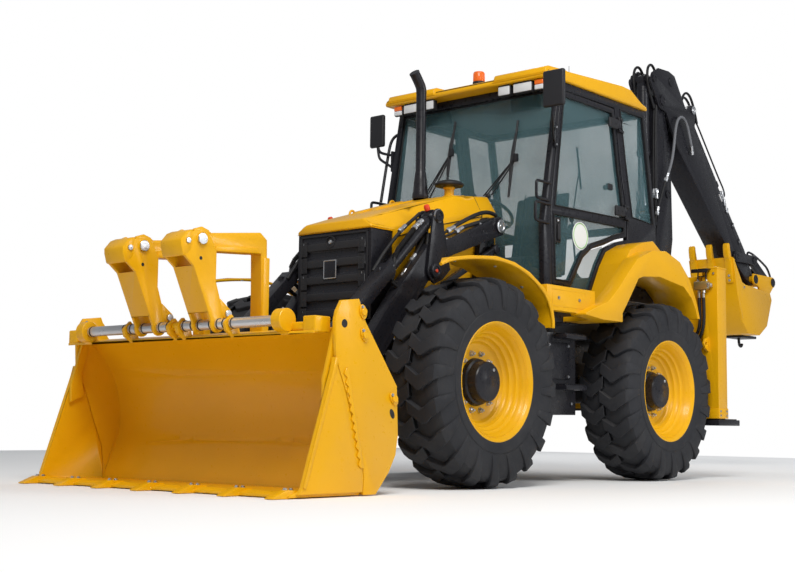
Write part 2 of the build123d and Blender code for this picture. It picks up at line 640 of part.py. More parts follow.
# ---------------------------------------------------------------- loader arms and linkage
arm_outline = [(1330, 1907), (1926, 1668), (2110, 1625), (2414, 1299), (2649, 1006), (3155, 391),
               (3055, 280), (2105, 1377), (2022, 1405), (1925, 1545), (1290, 1772)]
cross_tube = (2700.0, 900.0)
with BuildPart() as loader_arms:
    for side in (-1, 1):
        limits = span(side, arm_inner_y, arm_outer_y)
        plate(arm_outline, *limits)
        for pin, radius in ((arm_pin, arm_boss_radius), (lever_pin, arm_boss_radius - 5),
                            (bucket_pin, arm_boss_radius)):
            eye(pin, radius, *limits)
        # lugs for the lift cylinder's rod eye
        lug = [(2265, 1190), (2430, 1060), (lift_rod_pin[0] + 50, lift_rod_pin[1]),
               (lift_rod_pin[0], lift_rod_pin[1] - 50), (lift_rod_pin[0] - 46, lift_rod_pin[1])]
        for low, high in ((arm_inner_y, arm_inner_y + 14), (arm_outer_y - 14, arm_outer_y)):
            plate(lug, *span(side, low, high))
        eye(lever_pin, pin_radius, *span(side, lever_in[0] - 2, lever_out[1] + 2))
        eye(lever_pin, pin_radius + 18, *span(side, lever_out[1] + 1, lever_out[1] + 14))
        for pin in (arm_pin, bucket_pin):
            eye(pin, pin_radius + running_gap, *span(side, arm_inner_y - 1, arm_outer_y + 1),
                mode=Mode.SUBTRACT)
    eye(cross_tube, 70, -arm_inner_y, arm_inner_y)
finish(loader_arms.part, "loader_arms")

with BuildPart() as loader_levers:
    for side in (-1, 1):
        for limits in (span(side, *lever_in), span(side, *lever_out)):
            plate(bar_outline(lever_pin, lever_top_pin, lever_half_width + 8, lever_half_width - 14), *limits)
            eye(lever_pin, lever_half_width + 8, *limits)
            eye(lever_top_pin, lever_half_width - 14, *limits)
        inner = span(side, *lever_in)
        plate(bar_outline(lever_pin, level_lever_pin, lever_half_width, 34), *inner)
        eye(level_lever_pin, 34, *inner)
        # a web joins the two plates between the arm and the tilt cylinder
        web_low, web_high = between(lever_pin, lever_top_pin, 228), between(lever_pin, lever_top_pin, 266)
        web = bar_outline(web_low, web_high, 28, 28)
        plate(web, *span(side, lever_in[1] - 1, lever_out[0] + 1))
        eye(level_lever_pin, small_pin_radius, *span(side, lever_in[1] - 1, level_link_y[1] + 1))
        eye(level_lever_pin, small_pin_radius + 9, *span(side, level_link_y[1] + 1, level_link_y[1] + 7))
        eye(lever_pin, pin_radius + running_gap, *span(side, lever_in[0] - 1, lever_out[1] + 1),
            mode=Mode.SUBTRACT)
        eye(lever_top_pin, pin_radius - 5 + running_gap, *span(side, lever_in[0] - 1, lever_out[1] + 1),
            mode=Mode.SUBTRACT)
finish(loader_levers.part, "loader_levers")

with BuildPart() as levelling_links:
    for side in (-1, 1):
        limits = span(side, *level_link_y)
        plate(bar_outline(level_tower_pin, level_lever_pin, level_link_half, level_link_half), *limits)
        for pin in (level_tower_pin, level_lever_pin):
            eye(pin, 34, *limits)
        for pin in (level_tower_pin, level_lever_pin):
            eye(pin, small_pin_radius + running_gap, *limits, mode=Mode.SUBTRACT)
finish(levelling_links.part, "levelling_links")

with BuildPart() as tilt_pins:
    for side in (-1, 1):
        eye(lever_top_pin, pin_radius - 5, *span(side, lever_in[0] - 2, lever_out[1] + 2))
        eye(lever_top_pin, pin_radius + 10, *span(side, lever_out[1] + 1, lever_out[1] + 12))
finish(tilt_pins.part, "tilt_pins")

eye_y = (arm_mid_y - eye_half_width, arm_mid_y + eye_half_width)


def cylinder_barrel(base, tip, y, low_y, high_y, length, radius, base_pin, eye_radius, rod_radius):
    """A cylinder's barrel: its base eye, its tube and the bore that its rod runs in."""
    start = between(base, tip, eye_radius + 12)
    end = between(base, tip, length)
    rod(at(start, y), at(end, y), radius)
    plate(bar_outline(base, start, eye_radius * 0.6, radius * 0.9), low_y, high_y)
    eye(base, eye_radius, low_y, high_y)
    rod(at(between(base, tip, eye_radius + 40), y), at(between(base, tip, length + 1), y),
        rod_radius + running_gap, Mode.SUBTRACT)
    eye(base, base_pin + running_gap, low_y - 1, high_y + 1, mode=Mode.SUBTRACT)


with BuildPart() as tilt_barrels:
    for side in (-1, 1):
        cylinder_barrel(lever_top_pin, tilt_eye_pin, side * arm_mid_y, *span(side, *eye_y),
                        tilt_barrel_length, tilt_barrel_radius, pin_radius - 5, 48, tilt_rod_radius)
finish(tilt_barrels.part, "tilt_barrels")

tilt_length = hypot(tilt_eye_pin[0] - lever_top_pin[0], tilt_eye_pin[1] - lever_top_pin[1])
tilt_rod_start = 320.0
guard_start = 590.0
guard_end = tilt_length - 60.0
guard_end_plate = 14.0
with BuildPart() as tilt_rods:
    for side in (-1, 1):
        y = side * arm_mid_y
        rod(at(between(lever_top_pin, tilt_eye_pin, tilt_rod_start), y), at(tilt_eye_pin, y), tilt_rod_radius)
        eye(tilt_eye_pin, 50, *span(side, *eye_y))
        # the guard: a channel over the rod, open below, closed at its lower end
        along = Vector(*at(tilt_eye_pin, 0)) - Vector(*at(lever_top_pin, 0))
        top = tilt_barrel_radius + side_gap
        channel = [(-guard_half, top - guard_depth), (-guard_half, top + guard_wall),
                   (guard_half, top + guard_wall), (guard_half, top - guard_depth),
                   (guard_half - guard_wall, top - guard_depth), (guard_half - guard_wall, top),
                   (-guard_half + guard_wall, top), (-guard_half + guard_wall, top - guard_depth)]
        closing = [(-guard_half + 1, top - guard_depth), (-guard_half + 1, top + 1),
                   (guard_half - 1, top + 1), (guard_half - 1, top - guard_depth)]
        for outline, start in ((channel, guard_start), (closing, guard_end - guard_end_plate)):
            origin = at(between(lever_top_pin, tilt_eye_pin, start), y)
            with BuildSketch(Plane(origin=origin, x_dir=(0, 1, 0), z_dir=along)) as section:
                with BuildLine():
                    Polyline(*outline, close=True)
                make_face()
            extrude(section.sketch, amount=guard_end - start - (outline is closing))
finish(tilt_rods.part, "tilt_rods")

with BuildPart() as lift_barrels:
    for side in (-1, 1):
        cylinder_barrel(lift_base_pin, lift_rod_pin, side * arm_mid_y, *span(side, *eye_y),
                        lift_barrel_length, lift_barrel_radius, pin_radius, 56, lift_rod_radius)
finish(lift_barrels.part, "lift_barrels")

with BuildPart() as lift_rods:
    for side in (-1, 1):
        y = side * arm_mid_y
        rod(at(between(lift_base_pin, lift_rod_pin, 128), y), at(lift_rod_pin, y), lift_rod_radius)
        eye(lift_rod_pin, 45, *span(side, *eye_y))
finish(lift_rods.part, "lift_rods")

cross_shaft_radius = 85.0
cross_shaft_end_y = lug_in[0] - side_gap
with BuildPart() as bucket_pins:
    # the two pins are the ends of one shaft, so the arms' tips can't twist apart
    eye(bucket_pin, cross_shaft_radius, -cross_shaft_end_y, cross_shaft_end_y)
    for side in (-1, 1):
        eye(bucket_pin, pin_radius, *span(side, cross_shaft_end_y - 1, lug_out[1] + 2))
        eye(bucket_pin, pin_radius + 14, *span(side, lug_out[1] + 1, lug_out[1] + 10))
finish(bucket_pins.part, "bucket_pins")

# ---------------------------------------------------------------- loading bucket
joint_line = [(3715, 700), (3650, 560), (3590, 400), (3520, 240), (3500, 100), (3505, 20)]
rear_side = [(3738, 1014), (3700, 1075), (3560, 1093), (3504, 969), (3229, 615), (3215, 335), (3234, 223),
             (3293, 122), (3376, 30), (3400, 4), (3500, 4)]
front_side = [(3752, 760), (3770, 690), (3984, 56), (4010, 20)]


def arc_points(centre, radius, start, stop, steps):
    """Points round an arc of the side view, angles in degrees."""
    return [(centre[0] + radius * cos(radians(start + (stop - start) * i / steps)),
             centre[1] + radius * sin(radians(start + (stop - start) * i / steps))) for i in range(steps + 1)]


clam_arm_low_y = bucket_half_width - bucket_side_plate - side_gap - clam_arm_plate
clam_arm_high_y = clam_arm_low_y + clam_arm_plate
with BuildPart() as bucket_shell:
    for side in (-1, 1):
        outline = rear_side[::-1] + [(3752, 960), (3740, 760)] + joint_line
        plate(outline, *span(side, bucket_half_width - bucket_side_plate, bucket_half_width))
        # the plate that carries the clam's pin stands outside the clam's arm
        eye(clam_pin, clam_pin_radius, *span(side, clam_arm_low_y - 2, bucket_half_width))
    inner_half = bucket_half_width - bucket_side_plate + 1
    outer_arc = arc_points(mould_centre, mould_radius + bucket_sheet, 122, 214, 12)
    inner_arc = arc_points(mould_centre, mould_radius, 122, 214, 12)
    sheet = outer_arc + [(3500, 4), (3500, 4 + bucket_sheet + 4)] + inner_arc[::-1]
    plate(sheet, -inner_half, inner_half)
    top = inner_arc[0]
    plate([top, outer_arc[0], (3850, 902), (3850, 886)], -lip_half_width, lip_half_width)
    for side in (-1, 1):
        for lug in (lug_in, lug_out):
            limits = span(side, *lug)
            plate([(3400, 250), (3100, 270), (3040, 340), (tilt_eye_pin[0] - 50, tilt_eye_pin[1]),
                   (tilt_eye_pin[0], tilt_eye_pin[1] + 55), (3480, 760), (3390, 600), (3361, 420)], *limits)
            eye(bucket_pin, 75, *limits)
            eye(bucket_pin, pin_radius + running_gap, *limits, mode=Mode.SUBTRACT)
    for y, half in ((-fork_bar_half + 30, 30), (-fork_centre_y - 200, 12), (-40, 14), (40, 14),
                    (fork_centre_y + 200, 12), (fork_bar_half - 30, 30)):
        plate([(3790, 888), (3850, 888), (fork_bar_pin[0] + 40, 920), (fork_bar_pin[0] + 52, fork_bar_pin[1]),
               (fork_bar_pin[0], fork_bar_pin[1] + 52), (fork_bar_pin[0] - 52, fork_bar_pin[1])],
              y - half, y + half)
    eye(fork_bar_pin, fork_bar_radius + running_gap, -fork_bar_half - 5, fork_bar_half + 5,
        mode=Mode.SUBTRACT)
finish(bucket_shell.part, "bucket_shell")

with BuildPart() as bucket_clam:
    for side in (-1, 1):
        outline = front_side + [(3505 + clam_gap, 20)] + [(x + clam_gap, z) for x, z in joint_line[::-1][1:]]
        plate(outline, *span(side, bucket_half_width - bucket_side_plate, bucket_half_width))
        # the clam's arm, inside the shell's side plate, up to its pin
        arm = span(side, clam_arm_low_y, clam_arm_high_y)
        plate([(clam_pin[0] - 26, clam_pin[1] - 20), (3722, 700), (3700, 560), (3800, 520), (3800, 640),
               (3770, 740), (clam_pin[0] + 34, clam_pin[1] - 8)], *arm)
        eye(clam_pin, clam_arm_half, *arm)
        plate([(3740, 560), (3785, 545), (3785, 620), (3765, 700), (3740, 700)],
              *span(side, clam_arm_high_y - 1, bucket_half_width - bucket_side_plate + 1))
        eye(clam_pin, clam_pin_radius + running_gap, *arm, mode=Mode.SUBTRACT)
    inner_half = bucket_half_width - bucket_side_plate + 1
    cutting_floor = [(3505 + clam_gap, 4), (3505 + clam_gap, 24), (3990, 34), (4060, 18), (4060, 4)]
    plate(cutting_floor, -inner_half, inner_half)
    for index in range(tooth_count):
        y = (index - (tooth_count - 1) / 2) * tooth_pitch
        tooth = [(3960, 40), (4060, 46), (tooth_tip_x, 6), (tooth_tip_x, 0), (4020, 0), (3960, 4)]
        plate(tooth, y - 32, y + 32)
finish(bucket_clam.part, "bucket_clam")

# ---------------------------------------------------------------- forks
with BuildPart() as fork_brackets:
    eye(fork_bar_pin, fork_bar_radius, -fork_bar_half, fork_bar_half)
    for side in (-1, 1):
        centre = side * fork_centre_y
        for low in (-fork_half_width, fork_half_width - fork_plate):
            cheek = [(3820, 985), (3840, 1077), (3887, 1213), (3887, 1385), (3950, 1500), (4010, 1520),
                     (4070, 1490), (4150, 1420), (4130, 1345), (4060, 1290), (3925, 1000), (3890, 930)]
            plate(cheek, centre + low, centre + low + fork_plate)
            eye(fork_bar_pin, fork_eye_radius, centre + low, centre + low + fork_plate)
        plate([(4060, 1290), (3940, 1030), (3922, 1038), (4042, 1298)],
              centre - fork_half_width, centre + fork_half_width)
        eye(fork_knee_pin, 32, centre - fork_half_width - 8, centre + fork_half_width + 8)
finish(fork_brackets.part, "fork_brackets")

with BuildPart() as fork_tines:
    for side in (-1, 1):
        limits = (side * fork_centre_y - fork_tine_half, side * fork_centre_y + fork_tine_half)
        plate([(4010, 1500), (3950, 1495), (3500, 1550), (3445, 1510), (3425, 860), (3432, 795), (3455, 795),
               (3475, 860), (3490, 1420), (3870, 1395), (4000, 1400)], *limits)
        eye(fork_knee_pin, 55, *limits)
        eye(fork_knee_pin, 32 + running_gap, *limits, mode=Mode.SUBTRACT)
finish(fork_tines.part, "fork_tines")

# ---------------------------------------------------------------- rear frame and stabilisers
frame_rear_x = frame_front_x - frame_thickness
with BuildPart() as rear_frame:
    slab((frame_rear_x, frame_front_x), (-column_inner_y - 1, column_inner_y + 1), (560, 760))
    slab((frame_rear_x, frame_front_x), (-column_inner_y - 1, column_inner_y + 1), (1480, 1640))
    slab((frame_rear_x, frame_front_x), (-column_inner_y - 1, -600), (700, 1500))
    slab((frame_rear_x, frame_front_x), (600, column_inner_y + 1), (700, 1500))
    slab((frame_front_x, rail_rear_x), (-rail_outer_y, rail_outer_y), (700, 1100))
    slab((frame_rear_x, frame_front_x), (-rail_outer_y, rail_outer_y), (700, 1500))
    for side in (-1, 1):
        limits = span(side, column_inner_y, column_outer_y)
        slab((column_rear_x, column_front_x), limits, (column_low_z, column_high_z))
        inner = span(side, column_inner_y + column_wall, column_outer_y - column_wall)
        slab((column_rear_x + column_wall, column_front_x - column_wall), inner,
             (column_low_z - 1, column_high_z - column_wall), Mode.SUBTRACT)
        tie_down_plate = [(column_front_x - 1, 1130), (-660, 1112), (-638, 1075), (-660, 1038),
                          (column_front_x - 1, 1010)]
        plate(tie_down_plate, *span(side, 1090, 1110))
        eye(tie_down_hole, tie_down_radius, *span(side, 1080, 1120), mode=Mode.SUBTRACT)
finish(rear_frame.part, "rear_frame")

for name, side in (("left", 1), ("right", -1)):
    with BuildPart() as stabiliser:
        limits = span(side, column_inner_y + column_wall + leg_gap, column_outer_y - column_wall - leg_gap)
        slab((column_rear_x + column_wall + leg_gap, column_front_x - column_wall - leg_gap), limits,
             (column_low_z - 20, column_low_z - 20 + leg_length))
        slab((pad_rear_x, pad_front_x), span(side, column_outer_y - pad_width, column_outer_y),
             (column_low_z - 20 - pad_thickness, column_low_z - 19))
    finish(stabiliser.part, f"stabiliser_{name}")

carriage_front_x = frame_rear_x - seat_gap
carriage_rear_x = carriage_front_x - carriage_thickness
with BuildPart() as carriage:
    slab((carriage_rear_x, carriage_front_x), (-carriage_half_width, carriage_half_width),
         (carriage_low_z, carriage_high_z))
    for z in (swing_low_z, swing_high_z):
        low, high = z - swing_ear / 2, z + swing_ear / 2
        slab((swing_x, carriage_rear_x + 1), (-swing_eye_radius, swing_eye_radius), (low, high))
        rod((swing_x, 0, low), (swing_x, 0, high), swing_eye_radius)
        rod((swing_x, 0, low - 1), (swing_x, 0, high + 1), swing_pin_radius + running_gap, Mode.SUBTRACT)
finish(carriage.part, "carriage")

kingpost_low_z = swing_low_z + swing_ear / 2 + seat_gap
kingpost_high_z = swing_high_z - swing_ear / 2 - seat_gap
cheek_low_y = boom_half_width + side_gap
cheek_high_y = cheek_low_y + kingpost_plate
with BuildPart() as kingpost:
    rod((swing_x, 0, kingpost_low_z), (swing_x, 0, kingpost_high_z), swing_eye_radius - 15)
    rod((swing_x, 0, swing_low_z - swing_ear / 2), (swing_x, 0, swing_high_z + swing_ear / 2),
        swing_pin_radius)
    for side in (-1, 1):
        limits = span(side, cheek_low_y, cheek_high_y)
        cheek = [(swing_x, kingpost_low_z + 10), (swing_x, kingpost_high_z - 10),
                 (swing_x - 120, kingpost_high_z - 10), (-1310, 1100), (-1395, 850), (-1400, 690),
                 (-1330, 672)]
        plate(cheek, *limits)
        eye(boom_foot_pin, boom_boss_radius + 10, *limits)
        eye(boom_foot_pin, pin_radius + 16, *span(side, cheek_high_y - 1, cheek_high_y + 10))
    eye(boom_foot_pin, pin_radius, -cheek_high_y, cheek_high_y)
    slab((swing_x - 40, swing_x), (-cheek_high_y, cheek_high_y), (kingpost_low_z + 10, kingpost_high_z - 10))
finish(kingpost.part, "kingpost")

# ---------------------------------------------------------------- boom
boom_front = [(-1262, 790), (-1530, 1450), (-1690, 2150), (-1714, 2300), (-1714, 3440)]
boom_rear = [(-1836, 3440), (-1965, 3000), (-1990, 2150), (-1830, 1400), (-1402, 740)]
with BuildPart() as boom:
    plate(boom_front + boom_rear, -boom_half_width, boom_half_width)
    for pin in (boom_foot_pin, boom_head_pin):
        eye(pin, boom_boss_radius, -boom_half_width, boom_half_width)
    # between its side plates the lower half is open to the front for the boom cylinder
    inner_half = boom_half_width - boom_plate
    plate([(-1150, 850), (-1400, 940), (-1780, 1500), (-1965, 2150), (-1955, 2660), (-1790, 2660),
           (-1700, 2320), (-1600, 2320), (-1100, 1100)], -inner_half, inner_half, Mode.SUBTRACT)
    eye(boom_ram_pin, small_pin_radius + 5, -boom_half_width - 6, boom_half_width + 6)
    for pin in (boom_foot_pin, boom_head_pin):
        eye(pin, pin_radius + running_gap, -boom_half_width - 1, boom_half_width + 1, mode=Mode.SUBTRACT)
finish(boom.part, "boom")

# two lugs on the boom's front carry the dipper cylinder's rod eye
lug_foot_x = boom_front[-1][0] + seat_gap
lug_gap_half = 42.0
with BuildPart() as boom_lugs:
    for side in (-1, 1):
        lug = [(lug_foot_x, 2480), (-1640, 2450), (dipper_ram_base[0] + 45, dipper_ram_base[1]),
               (dipper_ram_base[0], dipper_ram_base[1] - 45), (-1640, 2350), (lug_foot_x, 2320)]
        plate(lug, *span(side, lug_gap_half, lug_gap_half + boom_plate))
finish(boom_lugs.part, "boom_lugs")

with BuildPart() as boom_ram_barrel_piece:
    cylinder_barrel(boom_ram_pin, boom_ram_base, 0, -35, 35, boom_ram_barrel, boom_ram_radius,
                    small_pin_radius + 5, 48, boom_ram_rod_radius)
finish(boom_ram_barrel_piece.part, "boom_ram_barrel")

with BuildPart() as boom_ram_rod:
    rod(at(between(boom_ram_pin, boom_ram_base, 160), 0), at(boom_ram_base, 0), boom_ram_rod_radius)
    eye(boom_ram_base, 50, -30, 30)
finish(boom_ram_rod.part, "boom_ram_rod")

# ---------------------------------------------------------------- dipper
head_low_y = boom_half_width + side_gap
head_high_y = head_low_y + dipper_plate
lever_pin_hoe = (dipper_tip_pin[0] + hoe_base[0], dipper_tip_pin[1] + hoe_base[1])
link_pin_hoe = (dipper_tip_pin[0] + hoe_crank[0], dipper_tip_pin[1] + hoe_crank[1])
link_top_pin = (link_pin_hoe[0] + hoe_base[0], link_pin_hoe[1] + hoe_base[1])
dipper_head = [(-1560, 3590), (-1600, 3680), (-1700, 3740), (-1900, 3750), (-2010, 3725), (-2230, 3440),
               (-2260, 3200), (-2060, 3034), (-1850, 3345), (-1715, 3370)]
dipper_box = [(-2062, 3034), (-2250, 3330), (-2330, 3330), (-3420, 2210), (-3600, 1960), (-3590, 1870),
              (-3510, 1865), (-3130, 2120)]
with BuildPart() as dipper:
    for side in (-1, 1):
        plate(dipper_head, *span(side, head_low_y, head_high_y))
        lug = [(-2150, 3200), (-2200, 3430), (-2310, 3500), (hoe_ram_pin[0], hoe_ram_pin[1] + 50),
               (hoe_ram_pin[0] - 50, hoe_ram_pin[1]), (-2400, 3330), (-2400, 3200)]
        plate(lug, *span(side, 70, head_high_y))
    plate(dipper_box, -head_high_y, head_high_y)
    # a bar ties the head's two cheeks behind the boom
    eye((-1940, 3655), 40, -head_high_y, head_high_y)
    eye(dipper_tip_pin, 62, -head_high_y, head_high_y)
    eye(boom_head_pin, pin_radius, -head_high_y - 10, head_high_y + 10)
    for pin in (dipper_tip_pin, lever_pin_hoe):
        eye(pin, pin_radius + running_gap, -head_high_y - 1, head_high_y + 1, mode=Mode.SUBTRACT)
    for pin in (hoe_ram_pin, dipper_ram_pin):
        eye(pin, pin_radius - 5, -head_high_y - 8, head_high_y + 8)
finish(dipper.part, "dipper")

with BuildPart() as dipper_ram_barrel_piece:
    cylinder_barrel(dipper_ram_pin, dipper_ram_base, 0, -35, 35, dipper_ram_barrel, dipper_ram_radius,
                    pin_radius - 5, 50, dipper_ram_rod_radius)
finish(dipper_ram_barrel_piece.part, "dipper_ram_barrel")

with BuildPart() as dipper_ram_rod:
    rod(at(between(dipper_ram_pin, dipper_ram_base, 460), 0), at(dipper_ram_base, 0), dipper_ram_rod_radius)
    eye(dipper_ram_base, 42, -28, 28)
finish(dipper_ram_rod.part, "dipper_ram_rod")

with BuildPart() as hoe_ram_barrel_piece:
    cylinder_barrel(hoe_ram_pin, link_top_pin, 0, -35, 35, hoe_ram_barrel, hoe_ram_radius,
                    pin_radius - 5, 52, hoe_ram_rod_radius)
finish(hoe_ram_barrel_piece.part, "hoe_ram_barrel")

with BuildPart() as hoe_ram_rod:
    rod(at(between(hoe_ram_pin, link_top_pin, 640), 0), at(link_top_pin, 0), hoe_ram_rod_radius)
    eye(link_top_pin, 45, -30, 30)
finish(hoe_ram_rod.part, "hoe_ram_rod")

# ---------------------------------------------------------------- bucket linkage and bucket
hoe_lever_low_y = head_high_y + side_gap
hoe_lever_high_y = hoe_lever_low_y + hoe_lever_plate
with BuildPart() as hoe_levers:
    for side in (-1, 1):
        limits = span(side, hoe_lever_low_y, hoe_lever_high_y)
        plate(bar_outline(lever_pin_hoe, link_top_pin, 50, 45), *limits)
        eye(lever_pin_hoe, 55, *limits)
        eye(link_top_pin, 50, *limits)
        eye(link_top_pin, pin_radius, *span(side, 42, hoe_lever_high_y))
    eye(lever_pin_hoe, pin_radius, -hoe_lever_high_y, hoe_lever_high_y)
finish(hoe_levers.part, "hoe_levers")

hoe_link_high_y = hoe_lever_low_y - side_gap
hoe_link_low_y = hoe_link_high_y - hoe_lever_plate - 10
def hose_tube(route, y, radius):
    """A tube of straight runs joined by tangent arcs, as large as each corner allows."""
    points = [Vector(x, y, z) for x, z in route]
    with BuildLine() as path:
        start = points[0]
        for before, corner, after in zip(points, points[1:], points[2:]):
            run_in, run_out = corner - before, after - corner
            cut = 0.45 * min(run_in.length, run_out.length)
            arc_start = corner - run_in.normalized() * cut
            arc_end = corner + run_out.normalized() * cut
            Line(start, arc_start)
            TangentArc(arc_start, arc_end, tangent=run_in.normalized())
            start = arc_end
        Line(start, points[-1])
    with BuildSketch(Plane(origin=points[0], z_dir=points[1] - points[0])) as section:
        Circle(radius)
    sweep(section.sketch, path=path.line)


with BuildPart() as hoe_link:
    for side in (-1, 1):
        limits = span(side, hoe_link_low_y, hoe_link_high_y)
        plate(bar_outline(link_top_pin, link_pin_hoe, 55, 55), *limits)
        for pin in (link_top_pin, link_pin_hoe):
            eye(pin, 58, *limits)
    for pin in (link_top_pin, link_pin_hoe):
        eye(pin, pin_radius + running_gap, -hoe_link_high_y - 1, hoe_link_high_y + 1, mode=Mode.SUBTRACT)
    middle = ((link_top_pin[0] + link_pin_hoe[0]) / 2, (link_top_pin[1] + link_pin_hoe[1]) / 2)
    eye(middle, 45, -hoe_link_low_y - 1, hoe_link_low_y + 1)
    hose_tube(hose_route, hose_y, hose_radius)
    for peg in (hose_route[0], hose_route[-1]):
        eye(peg, hose_peg_radius, hose_y, hoe_link_low_y + 1)
finish(hoe_link.part, "hoe_link")

hoe_ear_low_y = hoe_lever_high_y + side_gap
hoe_side = [(-2950, 2070), (-3120, 1850), (-3190, 1830), (-3745, 1790), (-3785, 1720), (-3665, 1445),
            (-3490, 1340), (-3240, 1343), (-3087, 1480), (-2995, 1710), (-2915, 2080)]
hoe_hollow = [(-2960, 2300), (-3010, 1712), (-3100, 1492), (-3243, 1358), (-3484, 1356), (-3652, 1458),
              (-3768, 1720), (-3735, 1772), (-3600, 2300)]
with BuildPart() as hoe_bucket:
    plate(hoe_side, -hoe_half_width, hoe_half_width)
    plate(hoe_hollow, -hoe_half_width + hoe_sheet, hoe_half_width - hoe_sheet, Mode.SUBTRACT)
    for side in (-1, 1):
        limits = span(side, hoe_ear_low_y, hoe_ear_low_y + 22)
        plate([(-3784, 1705), (-3740, 1705), (-3620, 1850), (-3510, 1875), (-3510, 1975), (-3950, 1975),
               (-3990, 1900), (-3950, 1860)], *limits)
        for pin in (link_pin_hoe, dipper_tip_pin):
            eye(pin, 55, *limits)
    for pin in (dipper_tip_pin, link_pin_hoe):
        eye(pin, pin_radius, -hoe_ear_low_y - 22, hoe_ear_low_y + 22)
    for y in (-187, 0, 187):
        plate([(-2925, 2000), (-2880, 2080), (-2870, 2200), (-2900, 2205), (-2940, 2080)], y - 26, y + 26)
finish(hoe_bucket.part, "hoe_bucket")
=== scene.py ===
"""A backhoe loader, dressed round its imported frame: tyres, paint, glazing, seat, pipes and fittings."""
import json
from math import cos, pi, radians, sin

import bpy
import bmesh
from mathutils import Matrix, Vector


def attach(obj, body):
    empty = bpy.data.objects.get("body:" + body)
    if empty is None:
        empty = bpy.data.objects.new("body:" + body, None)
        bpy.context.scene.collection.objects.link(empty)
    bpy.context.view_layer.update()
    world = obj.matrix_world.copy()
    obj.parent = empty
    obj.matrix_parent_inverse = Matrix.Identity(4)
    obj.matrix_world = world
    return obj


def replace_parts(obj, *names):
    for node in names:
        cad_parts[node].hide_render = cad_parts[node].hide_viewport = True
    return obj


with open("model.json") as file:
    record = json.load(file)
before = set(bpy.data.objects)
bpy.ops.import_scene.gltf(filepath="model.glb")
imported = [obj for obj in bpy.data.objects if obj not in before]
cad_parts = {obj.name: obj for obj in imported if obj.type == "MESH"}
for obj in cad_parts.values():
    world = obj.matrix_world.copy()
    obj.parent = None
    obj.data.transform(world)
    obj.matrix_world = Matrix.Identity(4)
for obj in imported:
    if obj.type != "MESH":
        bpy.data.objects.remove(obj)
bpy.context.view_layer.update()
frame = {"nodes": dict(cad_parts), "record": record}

# ------------------------------------------------------------------ camera
# A standing viewer's camera ahead of the machine's left front corner, held low
# and tipped up a little, with a slightly long lens.
camera = bpy.data.objects.new("camera", bpy.data.cameras.new("camera"))
bpy.context.scene.collection.objects.link(camera)
bpy.context.scene.camera = camera
camera.data.lens, camera.data.sensor_width = 59.75, 36.0
camera.data.clip_end = 200.0
yaw, pitch, roll = radians(220.758), radians(6.048), radians(0.672)
ahead = Vector((cos(yaw) * cos(pitch), sin(yaw) * cos(pitch), sin(pitch)))
level_right = ahead.cross(Vector((0, 0, 1))).normalized()
level_up = level_right.cross(ahead)
right = level_right * cos(roll) + level_up * sin(roll)
up = level_up * cos(roll) - level_right * sin(roll)
camera.matrix_world = (Matrix.Translation((8.9867, 6.1473, 0.3885))
                       @ Matrix((right, up, -ahead)).transposed().to_4x4())

# ------------------------------------------------------------------ floor and light
# A plain pale studio floor in front of a white backdrop, one large soft lamp above the
# machine's left front and a weaker one at its rear.


def put(node, **values):
    """Sets a shader node's sockets, named with an underline for each space."""
    for socket, value in values.items():
        node.inputs[socket.replace("_", " ")].default_value = value


bpy.ops.object.select_all(action="DESELECT")
bpy.ops.mesh.primitive_plane_add(size=19, location=(0.5, 0, -0.002))
floor = bpy.context.object
floor.name = "floor"
floor_paint = bpy.data.materials.new("studio floor")
floor_paint.use_nodes = True
floor_shader = floor_paint.node_tree.nodes["Principled BSDF"]
put(floor_shader, Base_Color=(0.93, 0.93, 0.93, 1), Roughness=0.75)
floor.data.materials.append(floor_paint)

world = bpy.data.worlds.new("studio")
bpy.context.scene.world = world
world.use_nodes = True
sky, sky_links = world.node_tree.nodes, world.node_tree.links
seen = sky.new("ShaderNodeBackground")
put(seen, Color=(1, 1, 1, 1), Strength=1.0)
lighting = sky["Background"]
put(lighting, Color=(0.93, 0.96, 1, 1), Strength=0.36)
path, pick_sky = sky.new("ShaderNodeLightPath"), sky.new("ShaderNodeMixShader")
sky_links.new(path.outputs["Is Camera Ray"], pick_sky.inputs["Fac"])
sky_links.new(lighting.outputs["Background"], pick_sky.inputs[1])
sky_links.new(seen.outputs["Background"], pick_sky.inputs[2])
sky_links.new(pick_sky.outputs["Shader"], sky["World Output"].inputs["Surface"])
for lamp_name, place, power, spread, tint in (
        ("key lamp", (7.0, 5.5, 8.5), 820, 4.0, (1, 0.98, 0.95)),
        ("side lamp", (-2.0, 9.0, 4.5), 230, 3.0, (0.96, 0.98, 1)),
        ("rear lamp", (-9.0, -4.0, 7.0), 300, 5.0, (1, 1, 1))):
    lamp = bpy.data.objects.new(lamp_name, bpy.data.lights.new(lamp_name, "AREA"))
    lamp.data.energy, lamp.data.size, lamp.data.color = power, spread, tint
    lamp.location = place
    lamp.rotation_euler = (Vector((0.3, 0, 1.4)) - Vector(place)).to_track_quat("-Z", "Y").to_euler()
    bpy.context.scene.collection.objects.link(lamp)
bpy.context.scene.view_settings.view_transform = "Standard"

# ------------------------------------------------------------------ axles
# Cast steel axle housings with a planetary hub at each end, sprayed black as one unit
# and bolted up to saddles under the rails. Both axles steer.


both_sides = ((-1, "right"), (1, "left"))


def clear():
    """Nothing is selected and the machine is out of edit mode."""
    if bpy.context.object and bpy.context.object.mode != "OBJECT":
        bpy.ops.object.mode_set(mode="OBJECT")
    bpy.ops.object.select_all(action="DESELECT")


def take(piece):
    """Makes a piece the only one selected."""
    clear()
    piece.select_set(True)
    bpy.context.view_layer.objects.active = piece
    return piece


